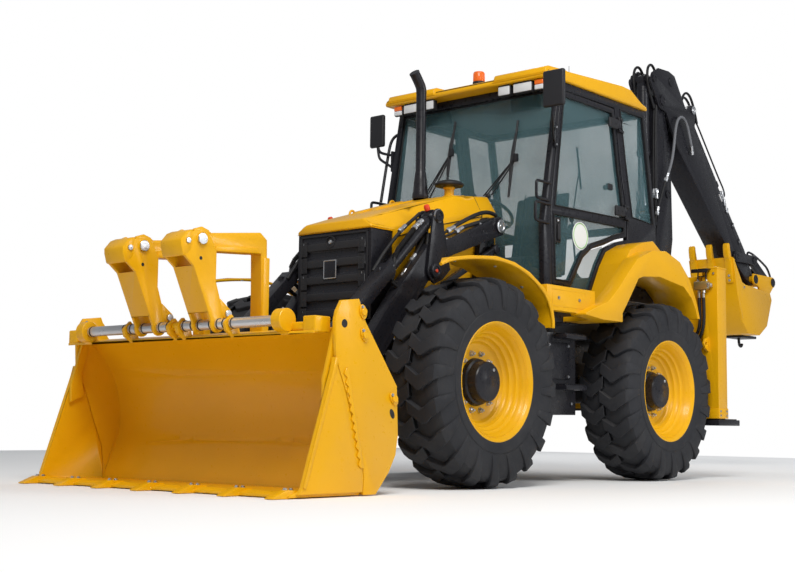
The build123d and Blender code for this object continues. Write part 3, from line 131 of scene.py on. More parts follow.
def enamel(name, colour, rough, dust=0.25, drift=0.1, grain=60.0, pebble=0.05, metal=0.0, coat=0.0):
    """Paint on steel: the colour drifts, road dust lies on ledges and low down, and the film is pebbled."""
    finish = bpy.data.materials.new(name)
    finish.use_nodes = True
    nodes, links = finish.node_tree.nodes, finish.node_tree.links
    shader = nodes["Principled BSDF"]
    place, facing, height = (nodes.new("ShaderNode" + kind) for kind in ("TexCoord", "NewGeometry",
                                                                         "SeparateXYZ"))
    links.new(place.outputs["Object"], height.inputs["Vector"])

    def patches(scale, detail, low, high):
        """A noise spread over the piece, kept between two values."""
        spots, spread = nodes.new("ShaderNodeTexNoise"), nodes.new("ShaderNodeMapRange")
        put(spots, Scale=scale, Detail=detail)
        put(spread, From_Min=0.32, From_Max=0.68, To_Min=low, To_Max=high)
        links.new(place.outputs["Object"], spots.inputs["Vector"])
        links.new(spots.outputs["Fac"], spread.inputs["Value"])
        return spread.outputs["Result"]

    def times(one, other):
        product = nodes.new("ShaderNodeMath")
        product.operation, product.use_clamp = "MULTIPLY", True
        links.new(one, product.inputs[0])
        links.new(other, product.inputs[1])
        return product.outputs["Value"]

    def blend(share, one, other):
        mixed = nodes.new("ShaderNodeMix")
        mixed.data_type = "RGBA"
        links.new(share, mixed.inputs["Factor"])
        for socket, value in ((mixed.inputs["A"], one), (mixed.inputs["B"], other)):
            if isinstance(value, tuple):
                socket.default_value = (*value, 1)
            else:
                links.new(value, socket)
        return mixed.outputs["Result"]

    deep = tuple(channel * (1 - drift) for channel in colour)
    pale = tuple(min(channel * (1 + drift) + 0.002, 1) for channel in colour)
    tone = blend(patches(1.3, 5, 0, 1), deep, pale)
    ledge, low_down = nodes.new("ShaderNodeMapRange"), nodes.new("ShaderNodeMapRange")
    up_facing = nodes.new("ShaderNodeSeparateXYZ")
    links.new(facing.outputs["Normal"], up_facing.inputs["Vector"])
    links.new(up_facing.outputs["Z"], ledge.inputs["Value"])
    put(ledge, From_Min=0.2, To_Min=0.35)
    links.new(height.outputs["Z"], low_down.inputs["Value"])
    put(low_down, From_Min=2.6, From_Max=0.0, To_Min=0.1, To_Max=1.0)
    film = times(times(ledge.outputs["Result"], low_down.outputs["Result"]), patches(5.0, 8, 0.0, dust))
    links.new(blend(film, tone, (0.30, 0.27, 0.22)), shader.inputs["Base Color"])
    links.new(patches(grain / 3, 6, max(rough - 0.07, 0.05), rough + 0.09), shader.inputs["Roughness"])
    put(shader, Metallic=metal, Coat_Weight=coat, Specular_IOR_Level=0.5 if metal else 0.26)
    pebbles, bump = nodes.new("ShaderNodeTexNoise"), nodes.new("ShaderNodeBump")
    put(pebbles, Scale=grain, Detail=4)
    put(bump, Strength=pebble, Distance=0.01)
    links.new(place.outputs["Object"], pebbles.inputs["Vector"])
    links.new(pebbles.outputs["Fac"], bump.inputs["Height"])
    links.new(bump.outputs["Normal"], shader.inputs["Normal"])
    return finish


def dress(finish, *nodes):
    """Gives plain CAD nodes their finish."""
    for node in nodes:
        sockets = frame["nodes"][node].material_slots
        for socket in sockets:
            socket.material = finish
        if not sockets:
            frame["nodes"][node].data.materials.append(finish)


def done(made, name, finish, body="chassis", smooth=32):
    """A finished piece, or several as one: named, smoothed, painted, riding on its body."""
    piece = joined(made) if isinstance(made, list) else made
    clear()
    piece.name = piece.data.name = name
    take(piece)
    bpy.ops.object.transform_apply(location=True, rotation=True, scale=True)
    bpy.ops.object.shade_smooth_by_angle(angle=radians(smooth))
    piece.data.materials.clear()
    piece.data.materials.append(finish)
    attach(piece, body)
    return piece


def edit_all():
    """Into edit mode with the whole piece selected."""
    bpy.ops.object.mode_set(mode="EDIT")
    bpy.ops.mesh.select_all(action="SELECT")


def close_up():
    """Every face turned outward, and out of edit mode."""
    bpy.ops.mesh.select_all(action="SELECT")
    bpy.ops.mesh.normals_make_consistent(inside=False)
    bpy.ops.object.mode_set(mode="OBJECT")


def modified(piece, kind, **settings):
    """A piece with one modifier applied to its mesh."""
    take(piece)
    change = piece.modifiers.new("change", kind)
    for setting, value in settings.items():
        setattr(change, setting, value)
    bpy.ops.object.modifier_apply(modifier="change")
    return piece


def eased(node, finish, width=0.003):
    """A CAD node's plates with their sharp edges eased, as ground and painted steel has them."""
    source = frame["nodes"][node]
    piece = bpy.data.objects.new(node + "_eased", source.data.copy())
    bpy.context.scene.collection.objects.link(piece)
    piece.matrix_world = source.matrix_world.copy()
    take(piece)
    edit_all()
    bpy.ops.mesh.remove_doubles(threshold=0.00002)
    bpy.ops.mesh.dissolve_limited(angle_limit=radians(0.8))
    bpy.ops.object.mode_set(mode="OBJECT")
    modified(piece, "BEVEL", width=width, segments=2, limit_method="ANGLE", angle_limit=radians(35),
             use_clamp_overlap=False)
    body = next(body for body, nodes in frame["record"]["behaviour"]["bodies"].items() if node in nodes)
    done(piece, node + "_eased", finish, body)
    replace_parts(piece, node)
    return piece


def turned(stations, sides=48, closed=True):
    """Turned round the Z axis, station by station: (height, radius)."""
    clear()
    bpy.ops.mesh.primitive_circle_add(vertices=sides, radius=stations[0][1], location=(0, 0, stations[0][0]),
                                      fill_type="NGON" if closed else "NOTHING")
    piece = bpy.context.object
    bpy.ops.object.transform_apply(location=True)
    edit_all()
    for (height, radius), (next_height, next_radius) in zip(stations, stations[1:]):
        bpy.ops.mesh.extrude_region_move(TRANSFORM_OT_translate={"value": (0, 0, next_height - height)})
        share = next_radius / radius
        bpy.ops.transform.resize(value=(share, share, 1), center_override=(0, 0, next_height))
    close_up()
    return piece


def aim(piece, start, along):
    """Carries a piece made round the Z axis to its place, its Z axis along a direction."""
    turn = Vector(along).to_track_quat("Z", "Y").to_matrix().to_4x4()
    piece.data.transform(Matrix.Translation(start) @ turn)
    return piece


def moved(piece, place):
    """Carries a piece made at the origin to its place."""
    piece.data.transform(Matrix.Translation(place))
    return piece


def joined(pieces):
    """One piece of several, the first of them leading."""
    clear()
    for piece in pieces:
        piece.select_set(True)
    bpy.context.view_layer.objects.active = pieces[0]
    if len(pieces) > 1:
        bpy.ops.object.join()
    return pieces[0]


def repeated(pattern, moves):
    """Copies of one pattern, each carried by its own matrix, and the pattern taken away."""
    copies = []
    for move in moves:
        copy = bpy.data.objects.new(pattern.name, pattern.data.copy())
        bpy.context.scene.collection.objects.link(copy)
        copy.data.transform(move)
        if move.determinant() < 0:
            copy.data.flip_normals()
        copies.append(copy)
    bpy.data.objects.remove(pattern)
    return joined(copies)


def bolts(name, places, size, body="chassis"):
    """Zinc plated hexagon bolts on washers: (place, direction of the head)."""
    head = turned([(0.0, size * 1.12), (size * 0.18, size * 1.12), (size * 0.18, size * 0.82)], 20)
    hexagon = turned([(size * 0.18, size * 0.86), (size * 0.62, size * 0.86), (size * 0.76, size * 0.72)], 6)
    pattern = joined([head, hexagon])
    moves = [Matrix.Translation(place) @ Vector(way).to_track_quat("Z", "Y").to_matrix().to_4x4()
             for place, way in places]
    return done(repeated(pattern, moves), name, zinc, body, smooth=25)


cast_black = enamel("cast steel, black", (0.012, 0.012, 0.015), 0.5, dust=0.15, grain=35,
                    pebble=0.25)
satin_black = enamel("satin black enamel", (0.012, 0.012, 0.016), 0.3, dust=0.05, grain=90,
                     pebble=0.04)
zinc = enamel("zinc plated steel", (0.56, 0.57, 0.59), 0.32, dust=0.1, metal=1.0, grain=70,
              pebble=0.04)
dress(cast_black, "axles")
wheel_names = ("front_left", "front_right", "rear_left", "rear_right")
dress(cast_black, *("knuckle_" + name for name in wheel_names))
wheelbase, axle_z, bolt_circle = 2.2, 0.675, 0.165
for axle in ("front", "rear"):
    middle = wheelbase if axle == "front" else 0.0
    ring = [((middle + bolt_circle * cos(turn), side * 0.151, axle_z + bolt_circle * sin(turn)), (0, side, 0))
            for side in (-1, 1) for turn in (step * pi / 6 for step in range(12))]
    bolts(axle + "_axle_bolts", ring, 0.012)

# ------------------------------------------------------------------ tyres
# Four equal industrial traction tyres, moulded in black rubber: each half of the tread has
# twenty bars that turn at a kink, run over the shoulder and fade out down the sidewall.


def open_edges(piece):
    """A piece in edit mode with its open edges selected."""
    take(piece)
    bpy.ops.object.mode_set(mode="EDIT")
    mould = bmesh.from_edit_mesh(piece.data)
    for edge in mould.edges:
        edge.select = edge.is_boundary


rubber = enamel("tyre rubber", (0.017, 0.018, 0.022), 0.62, dust=0.09, drift=0.18, grain=45,
                pebble=0.12)
tread_radius, bars = 0.675, 20
carcass = turned([(-0.198, 0.381), (-0.205, 0.40), (-0.211, 0.452), (-0.206, 0.458), (-0.209, 0.52),
                  (-0.207, 0.575), (-0.196, 0.612), (-0.170, 0.632), (-0.12, 0.641), (-0.04, 0.645),
                  (0.04, 0.645), (0.12, 0.641), (0.170, 0.632), (0.196, 0.612), (0.207, 0.575), (0.209, 0.52),
                  (0.206, 0.458), (0.211, 0.452), (0.205, 0.40), (0.198, 0.381), (0.17, 0.36), (-0.17, 0.36)],
                 96, closed=False)
open_edges(carcass)
bpy.ops.mesh.bridge_edge_loops()
bpy.ops.object.mode_set(mode="OBJECT")
# a tread bar's stations: y, radius at its top, y and radius at its foot, lead in degrees, half width
bar_stations = ((-0.016, 0.675, -0.016, 0.636, -3.6, 0.044), (0.045, 0.675, 0.045, 0.636, 0.0, 0.044),
                (0.078, 0.674, 0.078, 0.634, 2.2, 0.046), (0.108, 0.672, 0.105, 0.632, 1.6, 0.049),
                (0.160, 0.667, 0.150, 0.625, -1.6, 0.050), (0.196, 0.652, 0.178, 0.610, -3.2, 0.048),
                (0.215, 0.618, 0.192, 0.585, -4.2, 0.044), (0.2195, 0.560, 0.198, 0.545, -5.0, 0.036),
                (0.2165, 0.500, 0.200, 0.495, -5.6, 0.030), (0.2095, 0.466, 0.200, 0.462, -6.0, 0.027))
clear()
bpy.ops.mesh.primitive_grid_add(x_subdivisions=len(bar_stations) - 1, y_subdivisions=3, size=1)
tread_bar = bpy.context.object
columns = {}
for corner in tread_bar.data.vertices:
    columns.setdefault(round(corner.co.x, 4), []).append(corner)
for station, column in zip(bar_stations, (columns[key] for key in sorted(columns))):
    top_y, top_radius, foot_y, foot_radius, lead, half = station
    column.sort(key=lambda corner: corner.co.y)
    profile = ((foot_y, foot_radius, -half - 0.007), (top_y, top_radius, -half), (top_y, top_radius, half),
               (foot_y, foot_radius, half + 0.007))
    for corner, (y, radius, off) in zip(column, profile):
        turn = radians(lead) + off / tread_radius
        corner.co = (radius * cos(turn), radius * sin(turn), y)
open_edges(tread_bar)
bpy.ops.mesh.edge_face_add()
close_up()
modified(tread_bar, "BEVEL", width=0.004, segments=1, limit_method="ANGLE", angle_limit=radians(50))
pitch_turn = 2 * pi / bars
tread = repeated(tread_bar, [Matrix.Rotation(step * pitch_turn, 4, "Z") for step in range(bars)]
                 + [Matrix.Rotation((step + 0.5) * pitch_turn, 4, "Z") @ Matrix.Scale(-1, 4, (0, 0, 1))
                    for step in range(bars)])
tyre_pattern = joined([carcass, tread])
wheel_y = 0.955
wheel_places = {"front_left": (wheelbase, 1), "front_right": (wheelbase, -1), "rear_left": (0.0, 1),
                "rear_right": (0.0, -1)}


def on_wheel(pattern, name, label, finish, turn=0.0):
    """A copy of a wheel's piece, made about Z with its outer side up, set on one wheel."""
    middle, side = wheel_places[name]
    copy = bpy.data.objects.new(label, pattern.data.copy())
    bpy.context.scene.collection.objects.link(copy)
    upright = Matrix.Rotation(radians(-90), 4, "X") if side > 0 else Matrix.Rotation(radians(90), 4, "X")
    if side < 0:
        upright = upright @ Matrix.Scale(-1, 4, (0, 1, 0))
        copy.data.flip_normals()
    copy.data.transform(Matrix.Translation((middle, side * wheel_y, axle_z)) @ upright @ Matrix.Rotation(turn,
                                                                                                         4,
                                                                                                         "Z"))
    return done(copy, label + "_" + name, finish, "wheel_" + name)


for step, name in enumerate(wheel_names):
    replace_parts(on_wheel(tyre_pattern, name, "tyre_tread", rubber, 0.07 * step), "tyre_" + name)
bpy.data.objects.remove(tyre_pattern)

# ------------------------------------------------------------------ rims and hubs
# Welded 28-inch steel rims, sprayed yellow, with a deep dish pressed in three rounded steps.
# A black hub drum stands out of each, and zinc plated nuts hold the dish.
rim_yellow = enamel("rim enamel", (0.79, 0.41, 0.002), 0.34, dust=0.04, grain=120, pebble=0.015,
                    coat=0.1)
barrel = turned([(-0.19, 0.366), (-0.192, 0.380), (-0.186, 0.384), (-0.178, 0.380), (-0.17, 0.356),
                 (0.15, 0.354), (0.182, 0.378), (0.190, 0.384), (0.199, 0.384), (0.2, 0.378), (0.190, 0.368),
                 (0.172, 0.352), (0.150, 0.346), (-0.165, 0.348)], 96, closed=False)
dish = turned([(0.172, 0.355), (0.150, 0.345), (0.140, 0.338), (0.126, 0.336), (0.116, 0.330), (0.108, 0.318),
               (0.092, 0.314), (0.080, 0.306), (0.072, 0.294), (0.056, 0.290), (0.044, 0.281), (0.038, 0.268),
               (0.020, 0.258), (0.012, 0.245), (0.010, 0.15), (0.0, 0.12)], 96, closed=False)
for shell in (barrel, dish):
    modified(shell, "SOLIDIFY", thickness=0.005, offset=-1)
rim_pattern = joined([barrel, dish])
hub_pattern = turned([(-0.06, 0.155), (0.02, 0.155), (0.03, 0.150), (0.045, 0.148), (0.052, 0.133),
                      (0.112, 0.130), (0.120, 0.124), (0.122, 0.110), (0.1215, 0.045), (0.124, 0.04),
                      (0.124, 0.012)], 64)
nut = turned([(0.0, 0.019), (0.006, 0.019), (0.006, 0.016), (0.02, 0.016), (0.024, 0.013), (0.024, 0.008),
              (0.036, 0.008), (0.038, 0.006)], 12)
nut_pattern = repeated(nut, [Matrix.Rotation((step + 0.5) * pi / 6, 4,
                                             "Z") @ Matrix.Translation((0.188, 0, 0.012))
                             for step in range(12)])
plug_pattern = repeated(turned([(0.0, 0.011), (0.006, 0.011), (0.008, 0.008)], 10),
                        [Matrix.Rotation(radians(-125), 4, "Z") @ Matrix.Translation((0.095, 0, 0.119))])
for name in wheel_names:
    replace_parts(on_wheel(rim_pattern, name, "rim_dish", rim_yellow), "rim_" + name)
    on_wheel(hub_pattern, name, "hub_drum", satin_black)
    on_wheel(nut_pattern, name, "wheel_nuts", zinc)
    on_wheel(plug_pattern, name, "hub_plug", zinc)
for pattern in (rim_pattern, hub_pattern, nut_pattern, plug_pattern):
    bpy.data.objects.remove(pattern)

# ------------------------------------------------------------------ chassis and engine
# Flame-cut and welded plate rails with loader towers, painted satin black. The step tanks
# hang from them; each has two serrated treads, a filler and a bolted hatch.


def block(corner, opposite, ease=0.004, segments=2):
    """A block between two opposite corners with its edges rounded."""
    clear()
    low, high = (Vector([pick(pair) for pair in zip(corner, opposite)]) for pick in (min, max))
    bpy.ops.mesh.primitive_cube_add(size=1, location=(low + high) / 2, scale=high - low)
    piece = bpy.context.object
    bpy.ops.object.transform_apply(location=True, rotation=True, scale=True)
    edit_all()
    bpy.ops.mesh.bevel(offset=ease, segments=segments, affect="EDGES")
    bpy.ops.object.mode_set(mode="OBJECT")
    return piece


def pipe(points, radius, sides=6, straight=False, side=1):
    """A bent pipe or hose along a few points, mirrored for a side of -1."""
    run = bpy.data.curves.new("run", "CURVE")
    run.dimensions, run.bevel_depth, run.bevel_resolution, run.resolution_u = "3D", radius, sides // 2, 7
    run.use_fill_caps = True
    line = run.splines.new("POLY" if straight else "NURBS")
    line.points.add(len(points) - 1)
    for spot, (x, y, z) in zip(line.points, points):
        spot.co = (x, side * y, z, 1)
    if not straight:
        line.order_u, line.use_endpoint_u = min(4, len(points)), True
    piece = bpy.data.objects.new("run", run)
    bpy.context.scene.collection.objects.link(piece)
    take(piece)
    bpy.ops.object.convert(target="MESH")
    return bpy.context.object


def cut_plate(outline, face_y, back_y, ease=0.002):
    """A side-view outline (x, z) cut from plate: a disc's rim moved to the outline, then drawn out across."""
    low_y, high_y = sorted((face_y, back_y))
    clear()
    bpy.ops.mesh.primitive_circle_add(vertices=len(outline), radius=1, fill_type="NGON")
    piece = bpy.context.object
    for corner, (x, z) in zip(piece.data.vertices, outline):
        corner.co = (x, low_y, z)
    edit_all()
    bpy.ops.mesh.extrude_region_move(TRANSFORM_OT_translate={"value": (0, high_y - low_y, 0)})
    close_up()
    return modified(piece, "BEVEL", width=ease, segments=2, limit_method="ANGLE", angle_limit=radians(35))


def pin_ends(name, places, radius, finish, body="chassis"):
    """Turned caps on cross pins, each with a keeper: (place, way out along Y)."""
    cap = turned([(0.0, radius), (0.006, radius), (0.008, radius * 0.93), (0.008, radius * 0.62),
                  (0.003, radius * 0.56), (0.003, radius * 0.28), (0.007, radius * 0.22),
                  (0.0075, radius * 0.1)], 40)
    moves = [Matrix.Translation(place) @ Matrix.Rotation(radians(-90 * way), 4, "X") for place, way in places]
    return done(repeated(cap, moves), name, finish, body)


engine_grey = enamel("engine casting, grey", (0.07, 0.072, 0.078), 0.55, dust=0.4, grain=30,
                     pebble=0.35)
eased("chassis_frame", satin_black, 0.003)
dress(engine_grey, "engine_block")
for side, label in both_sides:
    treads = []
    for height in (0.685, 1.045):
        treads.append(block((0.942, side * 0.9, height - 0.002),
                            (1.198, side * 1.0, height + 0.004), 0.0015))
        for x in (0.945 + step * 0.024 for step in range(11)):
            treads.append(block((x, side * 0.91, height + 0.002),
                                (x + 0.01, side * 0.995, height + 0.012), 0.002, 1))
    done(treads, "step_treads_" + label, satin_black)
    hatch = block((1.0, side * 0.899, 0.73), (1.28, side * 0.906, 0.99), 0.004)
    done(hatch, "tank_hatch_" + label, satin_black)
    bolts("tank_bolts_" + label, [((x, side * 0.906, z), (0, side, 0)) for x in (1.02, 1.26)
                                  for z in (0.75, 0.97)] + [((x, side * 0.9, 0.56), (0, side, 0))
                                                            for x in (0.97, 1.26)], 0.009)
    pin_ends("tower_pins_" + label, [((1.3, side * 0.511, 1.84), side), ((1.05, side * 0.511, 0.62), side)],
             0.05, zinc)
    filler = aim(turned([(0.0, 0.05), (0.02, 0.05), (0.024, 0.046), (0.024, 0.03), (0.035, 0.028),
                         (0.037, 0.02)], 32), (1.12, side * 0.8, 1.059), (0, 0, 1))
    done(filler, "tank_cap_" + label, satin_black)

# ------------------------------------------------------------------ hood
# Pressed sheet in machine yellow: a sloping top over straight sides, a separate rear cowl, two
# lifting eyes, stepped pressings on the top and shut lines sealed with black rubber.
machine_yellow = enamel("machine yellow enamel", (0.79, 0.40, 0.001), 0.34, dust=0.03,
                        drift=0.04, grain=130, pebble=0.012, coat=0.12)
black_rubber = enamel("black sealing rubber", (0.012, 0.012, 0.013), 0.6, dust=0.1,
                      grain=200, pebble=0.1)
eased("hood", machine_yellow, 0.012)


def hood_top(x):
    """The height of the hood's top along its middle."""
    line = ((2.52, 1.765), (2.305, 1.838), (1.56, 2.06), (1.14, 2.105))
    for (front, front_z), (rear, rear_z) in zip(line, line[1:]):
        if x >= rear:
            return front_z + (rear_z - front_z) * (front - x) / (front - rear)
    return line[-1][1]


pressings = []
for front, rear, low_y, high_y, rise in ((2.12, 1.62, -0.235, -0.15, 0.011),
                                         (2.02, 1.50, -0.14, -0.07, 0.014), (1.96, 1.36, 0.06, 0.225, 0.010)):
    pressings.append(cut_plate([(front, hood_top(front) - 0.004), (rear, hood_top(rear) - 0.004),
                                (rear + 0.01, hood_top(rear + 0.01) + rise),
                                (front - 0.05, hood_top(front - 0.05) + rise)], low_y, high_y, 0.006))
done(pressings, "hood_pressings", machine_yellow)
eyes = []
for x in (2.06, 1.62):
    ring = pipe([(x + 0.03 * cos(radians(turn)), -0.262, hood_top(x) - 0.012 + 0.034 * sin(radians(turn)))
                 for turn in (-10, 20, 50, 90, 130, 160, 190)], 0.0085, 8)
    eyes.append(ring)
done(eyes, "lifting_eyes", machine_yellow)
shut = [pipe([(1.315, y, z) for y, z in ((-0.3465, 1.12), (-0.3465, 1.939), (-0.268, 2.0875), (0.268, 2.0875),
                                         (0.3465, 1.939), (0.3465, 1.12))], 0.0035, 6, straight=True)]
for side in (-1, 1):
    shut.append(pipe([(x, side * 0.3465, z) for x, z in ((2.3, 1.66), (1.763, 1.815), (1.32, 1.925))], 0.003,
                     6, straight=True))
done(shut, "hood_shut_lines", black_rubber)
bolts("hood_bolts", [((x, side * 0.346, z), (0, side, 0)) for side in (-1, 1)
                     for x, z in ((2.22, 1.2), (1.4, 1.2), (1.38, 1.86), (1.22, 1.9))], 0.008)

# ------------------------------------------------------------------ grille
# A black moulded radiator guard in a sheet housing: broad level ribs with slotted ends, a turn
# lock in a round recess, a blank badge and six screws.


def recessed(piece, way, border, depth):
    """The face that looks one way, inset by a border and pressed in."""
    take(piece)
    bpy.ops.object.mode_set(mode="EDIT")
    mould = bmesh.from_edit_mesh(piece.data)
    for face in mould.faces:
        face.select = face.normal.dot(Vector(way)) > 0.99
    bpy.ops.mesh.inset(thickness=border)
    bpy.ops.transform.translate(value=Vector(way) * -depth)
    bpy.ops.object.mode_set(mode="OBJECT")
    return piece


moulded_black = enamel("moulded black plastic", (0.018, 0.018, 0.021), 0.42, dust=0.12,
                       grain=220, pebble=0.12)
eased("grille", satin_black, 0.006)
ribs = []
for step in range(5):
    z = 1.11 + step * 0.115
    ribs.append(block((2.524, -0.285, z + 0.004), (2.537, 0.285, z + 0.058), 0.006, 3))
    for side in (-1, 1):
        for slot in range(5):
            y = side * (0.245 + slot * 0.011)
            ribs.append(block((2.530, y - 0.003, z - 0.03), (2.541, y + 0.003, z + 0.075), 0.0025, 1))
for low, high in (((2.518, -0.315, 1.097), (2.53, -0.300, 1.685)),
                  ((2.518, 0.300, 1.097), (2.53, 0.315, 1.685)),
                  ((2.518, -0.315, 1.672), (2.53, 0.315, 1.687)),
                  ((2.518, -0.315, 1.093), (2.53, 0.315, 1.106))):
    ribs.append(block(low, high, 0.004))
done(ribs, "grille_ribs", moulded_black, "chassis")
lock = aim(turned([(0.0, 0.042), (0.014, 0.042), (0.016, 0.038), (0.006, 0.034), (0.006, 0.02)], 40),
           (2.525, -0.02, 1.628), (1, 0, 0))
done(lock, "grille_lock_recess", moulded_black, "chassis")
done(aim(turned([(0.0, 0.015), (0.012, 0.015), (0.015, 0.011), (0.012, 0.006)], 20), (2.53, -0.02, 1.628),
         (1, 0, 0)), "grille_lock", zinc)
badge_rim = block((2.536, -0.075, 1.375), (2.547, 0.045, 1.505), 0.005, 2)
done(recessed(badge_rim, (1, 0, 0), 0.005, 0.003), "blank_badge", zinc)
done(block((2.54, -0.069, 1.381), (2.5455, 0.039, 1.499), 0.003), "blank_badge_field", satin_black)
bolts("grille_screws", [((2.531, y, z), (1, 0, 0)) for y in (-0.272, 0.272) for z in (1.16, 1.40, 1.63)],
      0.009)

# ------------------------------------------------------------------ exhaust and air cleaner
# A rolled steel exhaust with a mitred top stands on a flared sleeve; beside it a spun black
# rain cap sits on the yellow neck of the air cleaner.
stack = [turned([(2.062, 0.058), (2.075, 0.062), (2.09, 0.062), (2.12, 0.055), (2.19, 0.050), (2.26, 0.041),
                 (2.27, 0.038), (2.88, 0.038)], 40)]
moved(stack[0], (1.56, -0.04, 0))
stack.append(pipe([(1.56, -0.04, 2.86), (1.56, -0.04, 2.895), (1.568, -0.04, 2.915), (1.6, -0.04, 2.955),
                   (1.645, -0.04, 3.005)], 0.0395, 14))
lip = aim(turned([(-0.004, 0.037), (0.0, 0.0405), (0.012, 0.0405), (0.014, 0.037), (-0.05, 0.034)], 40),
          (1.637, -0.04, 2.996), (0.66, 0, 0.75))
stack.append(lip)
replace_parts(done(stack, "exhaust_stack", satin_black), "hood_stacks")
cleaner_place = (1.42, 0.12, 0)
neck = turned([(2.07, 0.05), (2.085, 0.05), (2.09, 0.036), (2.135, 0.036), (2.14, 0.044), (2.15, 0.044),
               (2.155, 0.034), (2.17, 0.034)], 40)
done(moved(neck, cleaner_place), "air_cleaner_neck", machine_yellow)
rain_cap = turned([(2.160, 0.055), (2.157, 0.090), (2.160, 0.104), (2.170, 0.111), (2.182, 0.106),
                   (2.196, 0.08), (2.205, 0.045), (2.207, 0.01)], 56)
done(moved(rain_cap, cleaner_place), "air_cleaner_cap", moulded_black)

# ------------------------------------------------------------------ fenders and sills
# Yellow pressed fenders. The front pair are plain curved sheets with a rolled outer edge on black
# brackets; the rear pair wrap the cab's foot and run into the sills under the doors.
fender_metal = eased("fenders", machine_yellow, 0.004)
for side in (-1, 1):
    # the front fenders' inner corners are cut away, clear of the loader's levers
    take(fender_metal)
    for face in fender_metal.data.polygons:
        face.select = face.center.y * side > 0
    bpy.ops.object.mode_set(mode="EDIT")
    bpy.ops.mesh.bisect(plane_co=(2.12, side * 0.70, 1.4), plane_no=(0.552, -side * 0.834, 0), use_fill=True,
                        clear_outer=True)
    bpy.ops.object.mode_set(mode="OBJECT")
take(fender_metal)
bpy.ops.object.shade_smooth_by_angle(angle=radians(50))
front_edge = [(2.750, 1.379), (2.674, 1.418), (2.472, 1.452), (2.188, 1.476), (1.992, 1.457), (1.822, 1.408),
              (1.650, 1.318), (1.553, 1.212), (1.529, 1.100), (1.531, 1.064)]
for side, label in both_sides:
    edge = pipe([(x, side * 1.119, z - 0.004) for x, z in front_edge], 0.0115, 8)
    done(edge, "front_fender_edge_" + label, machine_yellow)
    bolts("fender_bolts_" + label,
          [((x, side * 0.99, z), (0, 0, -1)) for x, z in ((2.45, 1.437), (2.02, 1.444))]
          + [((1.575, side * 1.0, 1.19), (1, 0, -0.4)), ((1.70, side * 0.98, 1.335), (0.7, 0, -0.7))]
          + [((x, side * 1.051, 1.285), (0, side, 0)) for x in (1.1, 1.36)], 0.011)
    panel = block((1.02, side * 1.048, 1.225), (1.44, side * 1.052, 1.345), 0.0018)
    done(recessed(panel, (0, side, 0), 0.012, 0.0035), "sill_panel_" + label, machine_yellow)

# ------------------------------------------------------------------ cab frame and doors
# A welded frame of pressed channels, painted satin black, with flush framed doors hung on two
# moulded hinge covers each; every pane sits in a black rubber channel.
eased("cab_frame", satin_black, 0.006)


def seal(outline, y, radius=0.006):
    """A rubber channel round a pane's opening, in a plane across the machine."""
    return pipe([(x, y, z) for x, z in outline + outline[:1]], radius, 6, straight=True)


door_panes = ([(1.000, 2.010), (0.880, 2.850), (0.205, 2.850), (0.120, 2.400), (0.040, 2.060),
               (0.040, 2.030)], [(0.995, 1.465), (1.015, 1.945), (0.040, 1.960), (0.040, 1.925),
                                 (0.180, 1.885), (0.345, 1.828), (0.516, 1.778), (0.650, 1.690),
                                 (0.735, 1.572), (0.812, 1.465)])
rear_pane = [(0.085, 2.900), (-0.260, 2.900), (-0.415, 2.040), (-0.090, 2.060), (0.010, 2.500)]
for side, label in both_sides:
    body = "door_" + label
    eased("door_" + label, satin_black, 0.006)
    done([seal(pane, side * 0.7785) for pane in door_panes], "door_seals_" + label, black_rubber, body)
    done(seal(rear_pane, side * 0.7805), "quarter_seal_" + label, black_rubber)
    covers = []
    for x, z in ((0.0, 2.081), (0.088, 2.768)):
        cover = block((x + 0.055, side * 0.782, z - 0.040),
                      (x + 0.185, side * 0.803, z + 0.040), 0.009, 3)
        covers.append(cover)
        for step in (0.09, 0.15):
            covers.append(aim(turned([(0.0, 0.007), (0.003, 0.007), (0.004, 0.003)], 12),
                              (x + step, side * 0.8025, z), (0, side, 0)))
    done(covers, "hinge_covers_" + label, moulded_black, body)
    # the outer handle stands in a moulded cup behind the front stile
    cup = block((0.925, side * 0.765, 1.735), (1.005, side * 0.784, 1.925), 0.012, 3)
    recessed(cup, (0, side, 0), 0.010, 0.012)
    lever = block((0.945, side * 0.776, 1.76), (0.975, side * 0.792, 1.875), 0.006, 3)
    done([cup, lever], "door_handle_" + label, moulded_black, body)
    done(aim(turned([(0.0, 0.010), (0.004, 0.010), (0.005, 0.008), (0.003, 0.004)], 20),
             (0.963, side * 0.778, 1.903), (0, side, 0)), "door_lock_" + label, zinc, body)
    # the upper pane's catch
    catch = block((0.17, side * 0.74, 2.24), (0.24, side * 0.766, 2.29), 0.008, 3)
    knob = aim(turned([(0.0, 0.012), (0.02, 0.012), (0.025, 0.02), (0.04, 0.02), (0.044, 0.014)], 20),
               (0.205, side * 0.745, 2.265), (0, -side, 0))
    done([catch, knob], "window_catch_" + label, moulded_black, body)

# ------------------------------------------------------------------ cab floor and controls
# A rubber-matted deck over the rails, a moulded dash pod on a raked column, the wheel, levers for
# the loader at the right hand and a pair of tall levers for the backhoe behind.
cab_trim = enamel("grained cab trim", (0.035, 0.036, 0.040), 0.6, dust=0.1, grain=260, pebble=0.2)
mat_rubber = enamel("ribbed floor mat", (0.016, 0.016, 0.017), 0.75, dust=0.5, grain=240,
                    pebble=0.25)
deck = []
for low, high in (((0.690, -0.733, 1.150), (1.120, 0.733, 1.180)),
                  ((-0.390, -0.733, 1.386), (0.719, 0.733, 1.415)),
                  ((0.692, -0.733, 1.152), (0.720, 0.733, 1.405)),
                  ((-0.390, -0.480, 1.091), (0.691, 0.480, 1.388)),
                  ((-0.380, -0.733, 1.413), (-0.062, 0.733, 1.600))):
    deck.append(block(low, high, 0.006))
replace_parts(done(deck, "cab_deck", cab_trim), "cab_floor")
mat = [block((0.735, -0.70, 1.178), (1.105, 0.70, 1.186), 0.002, 1)]
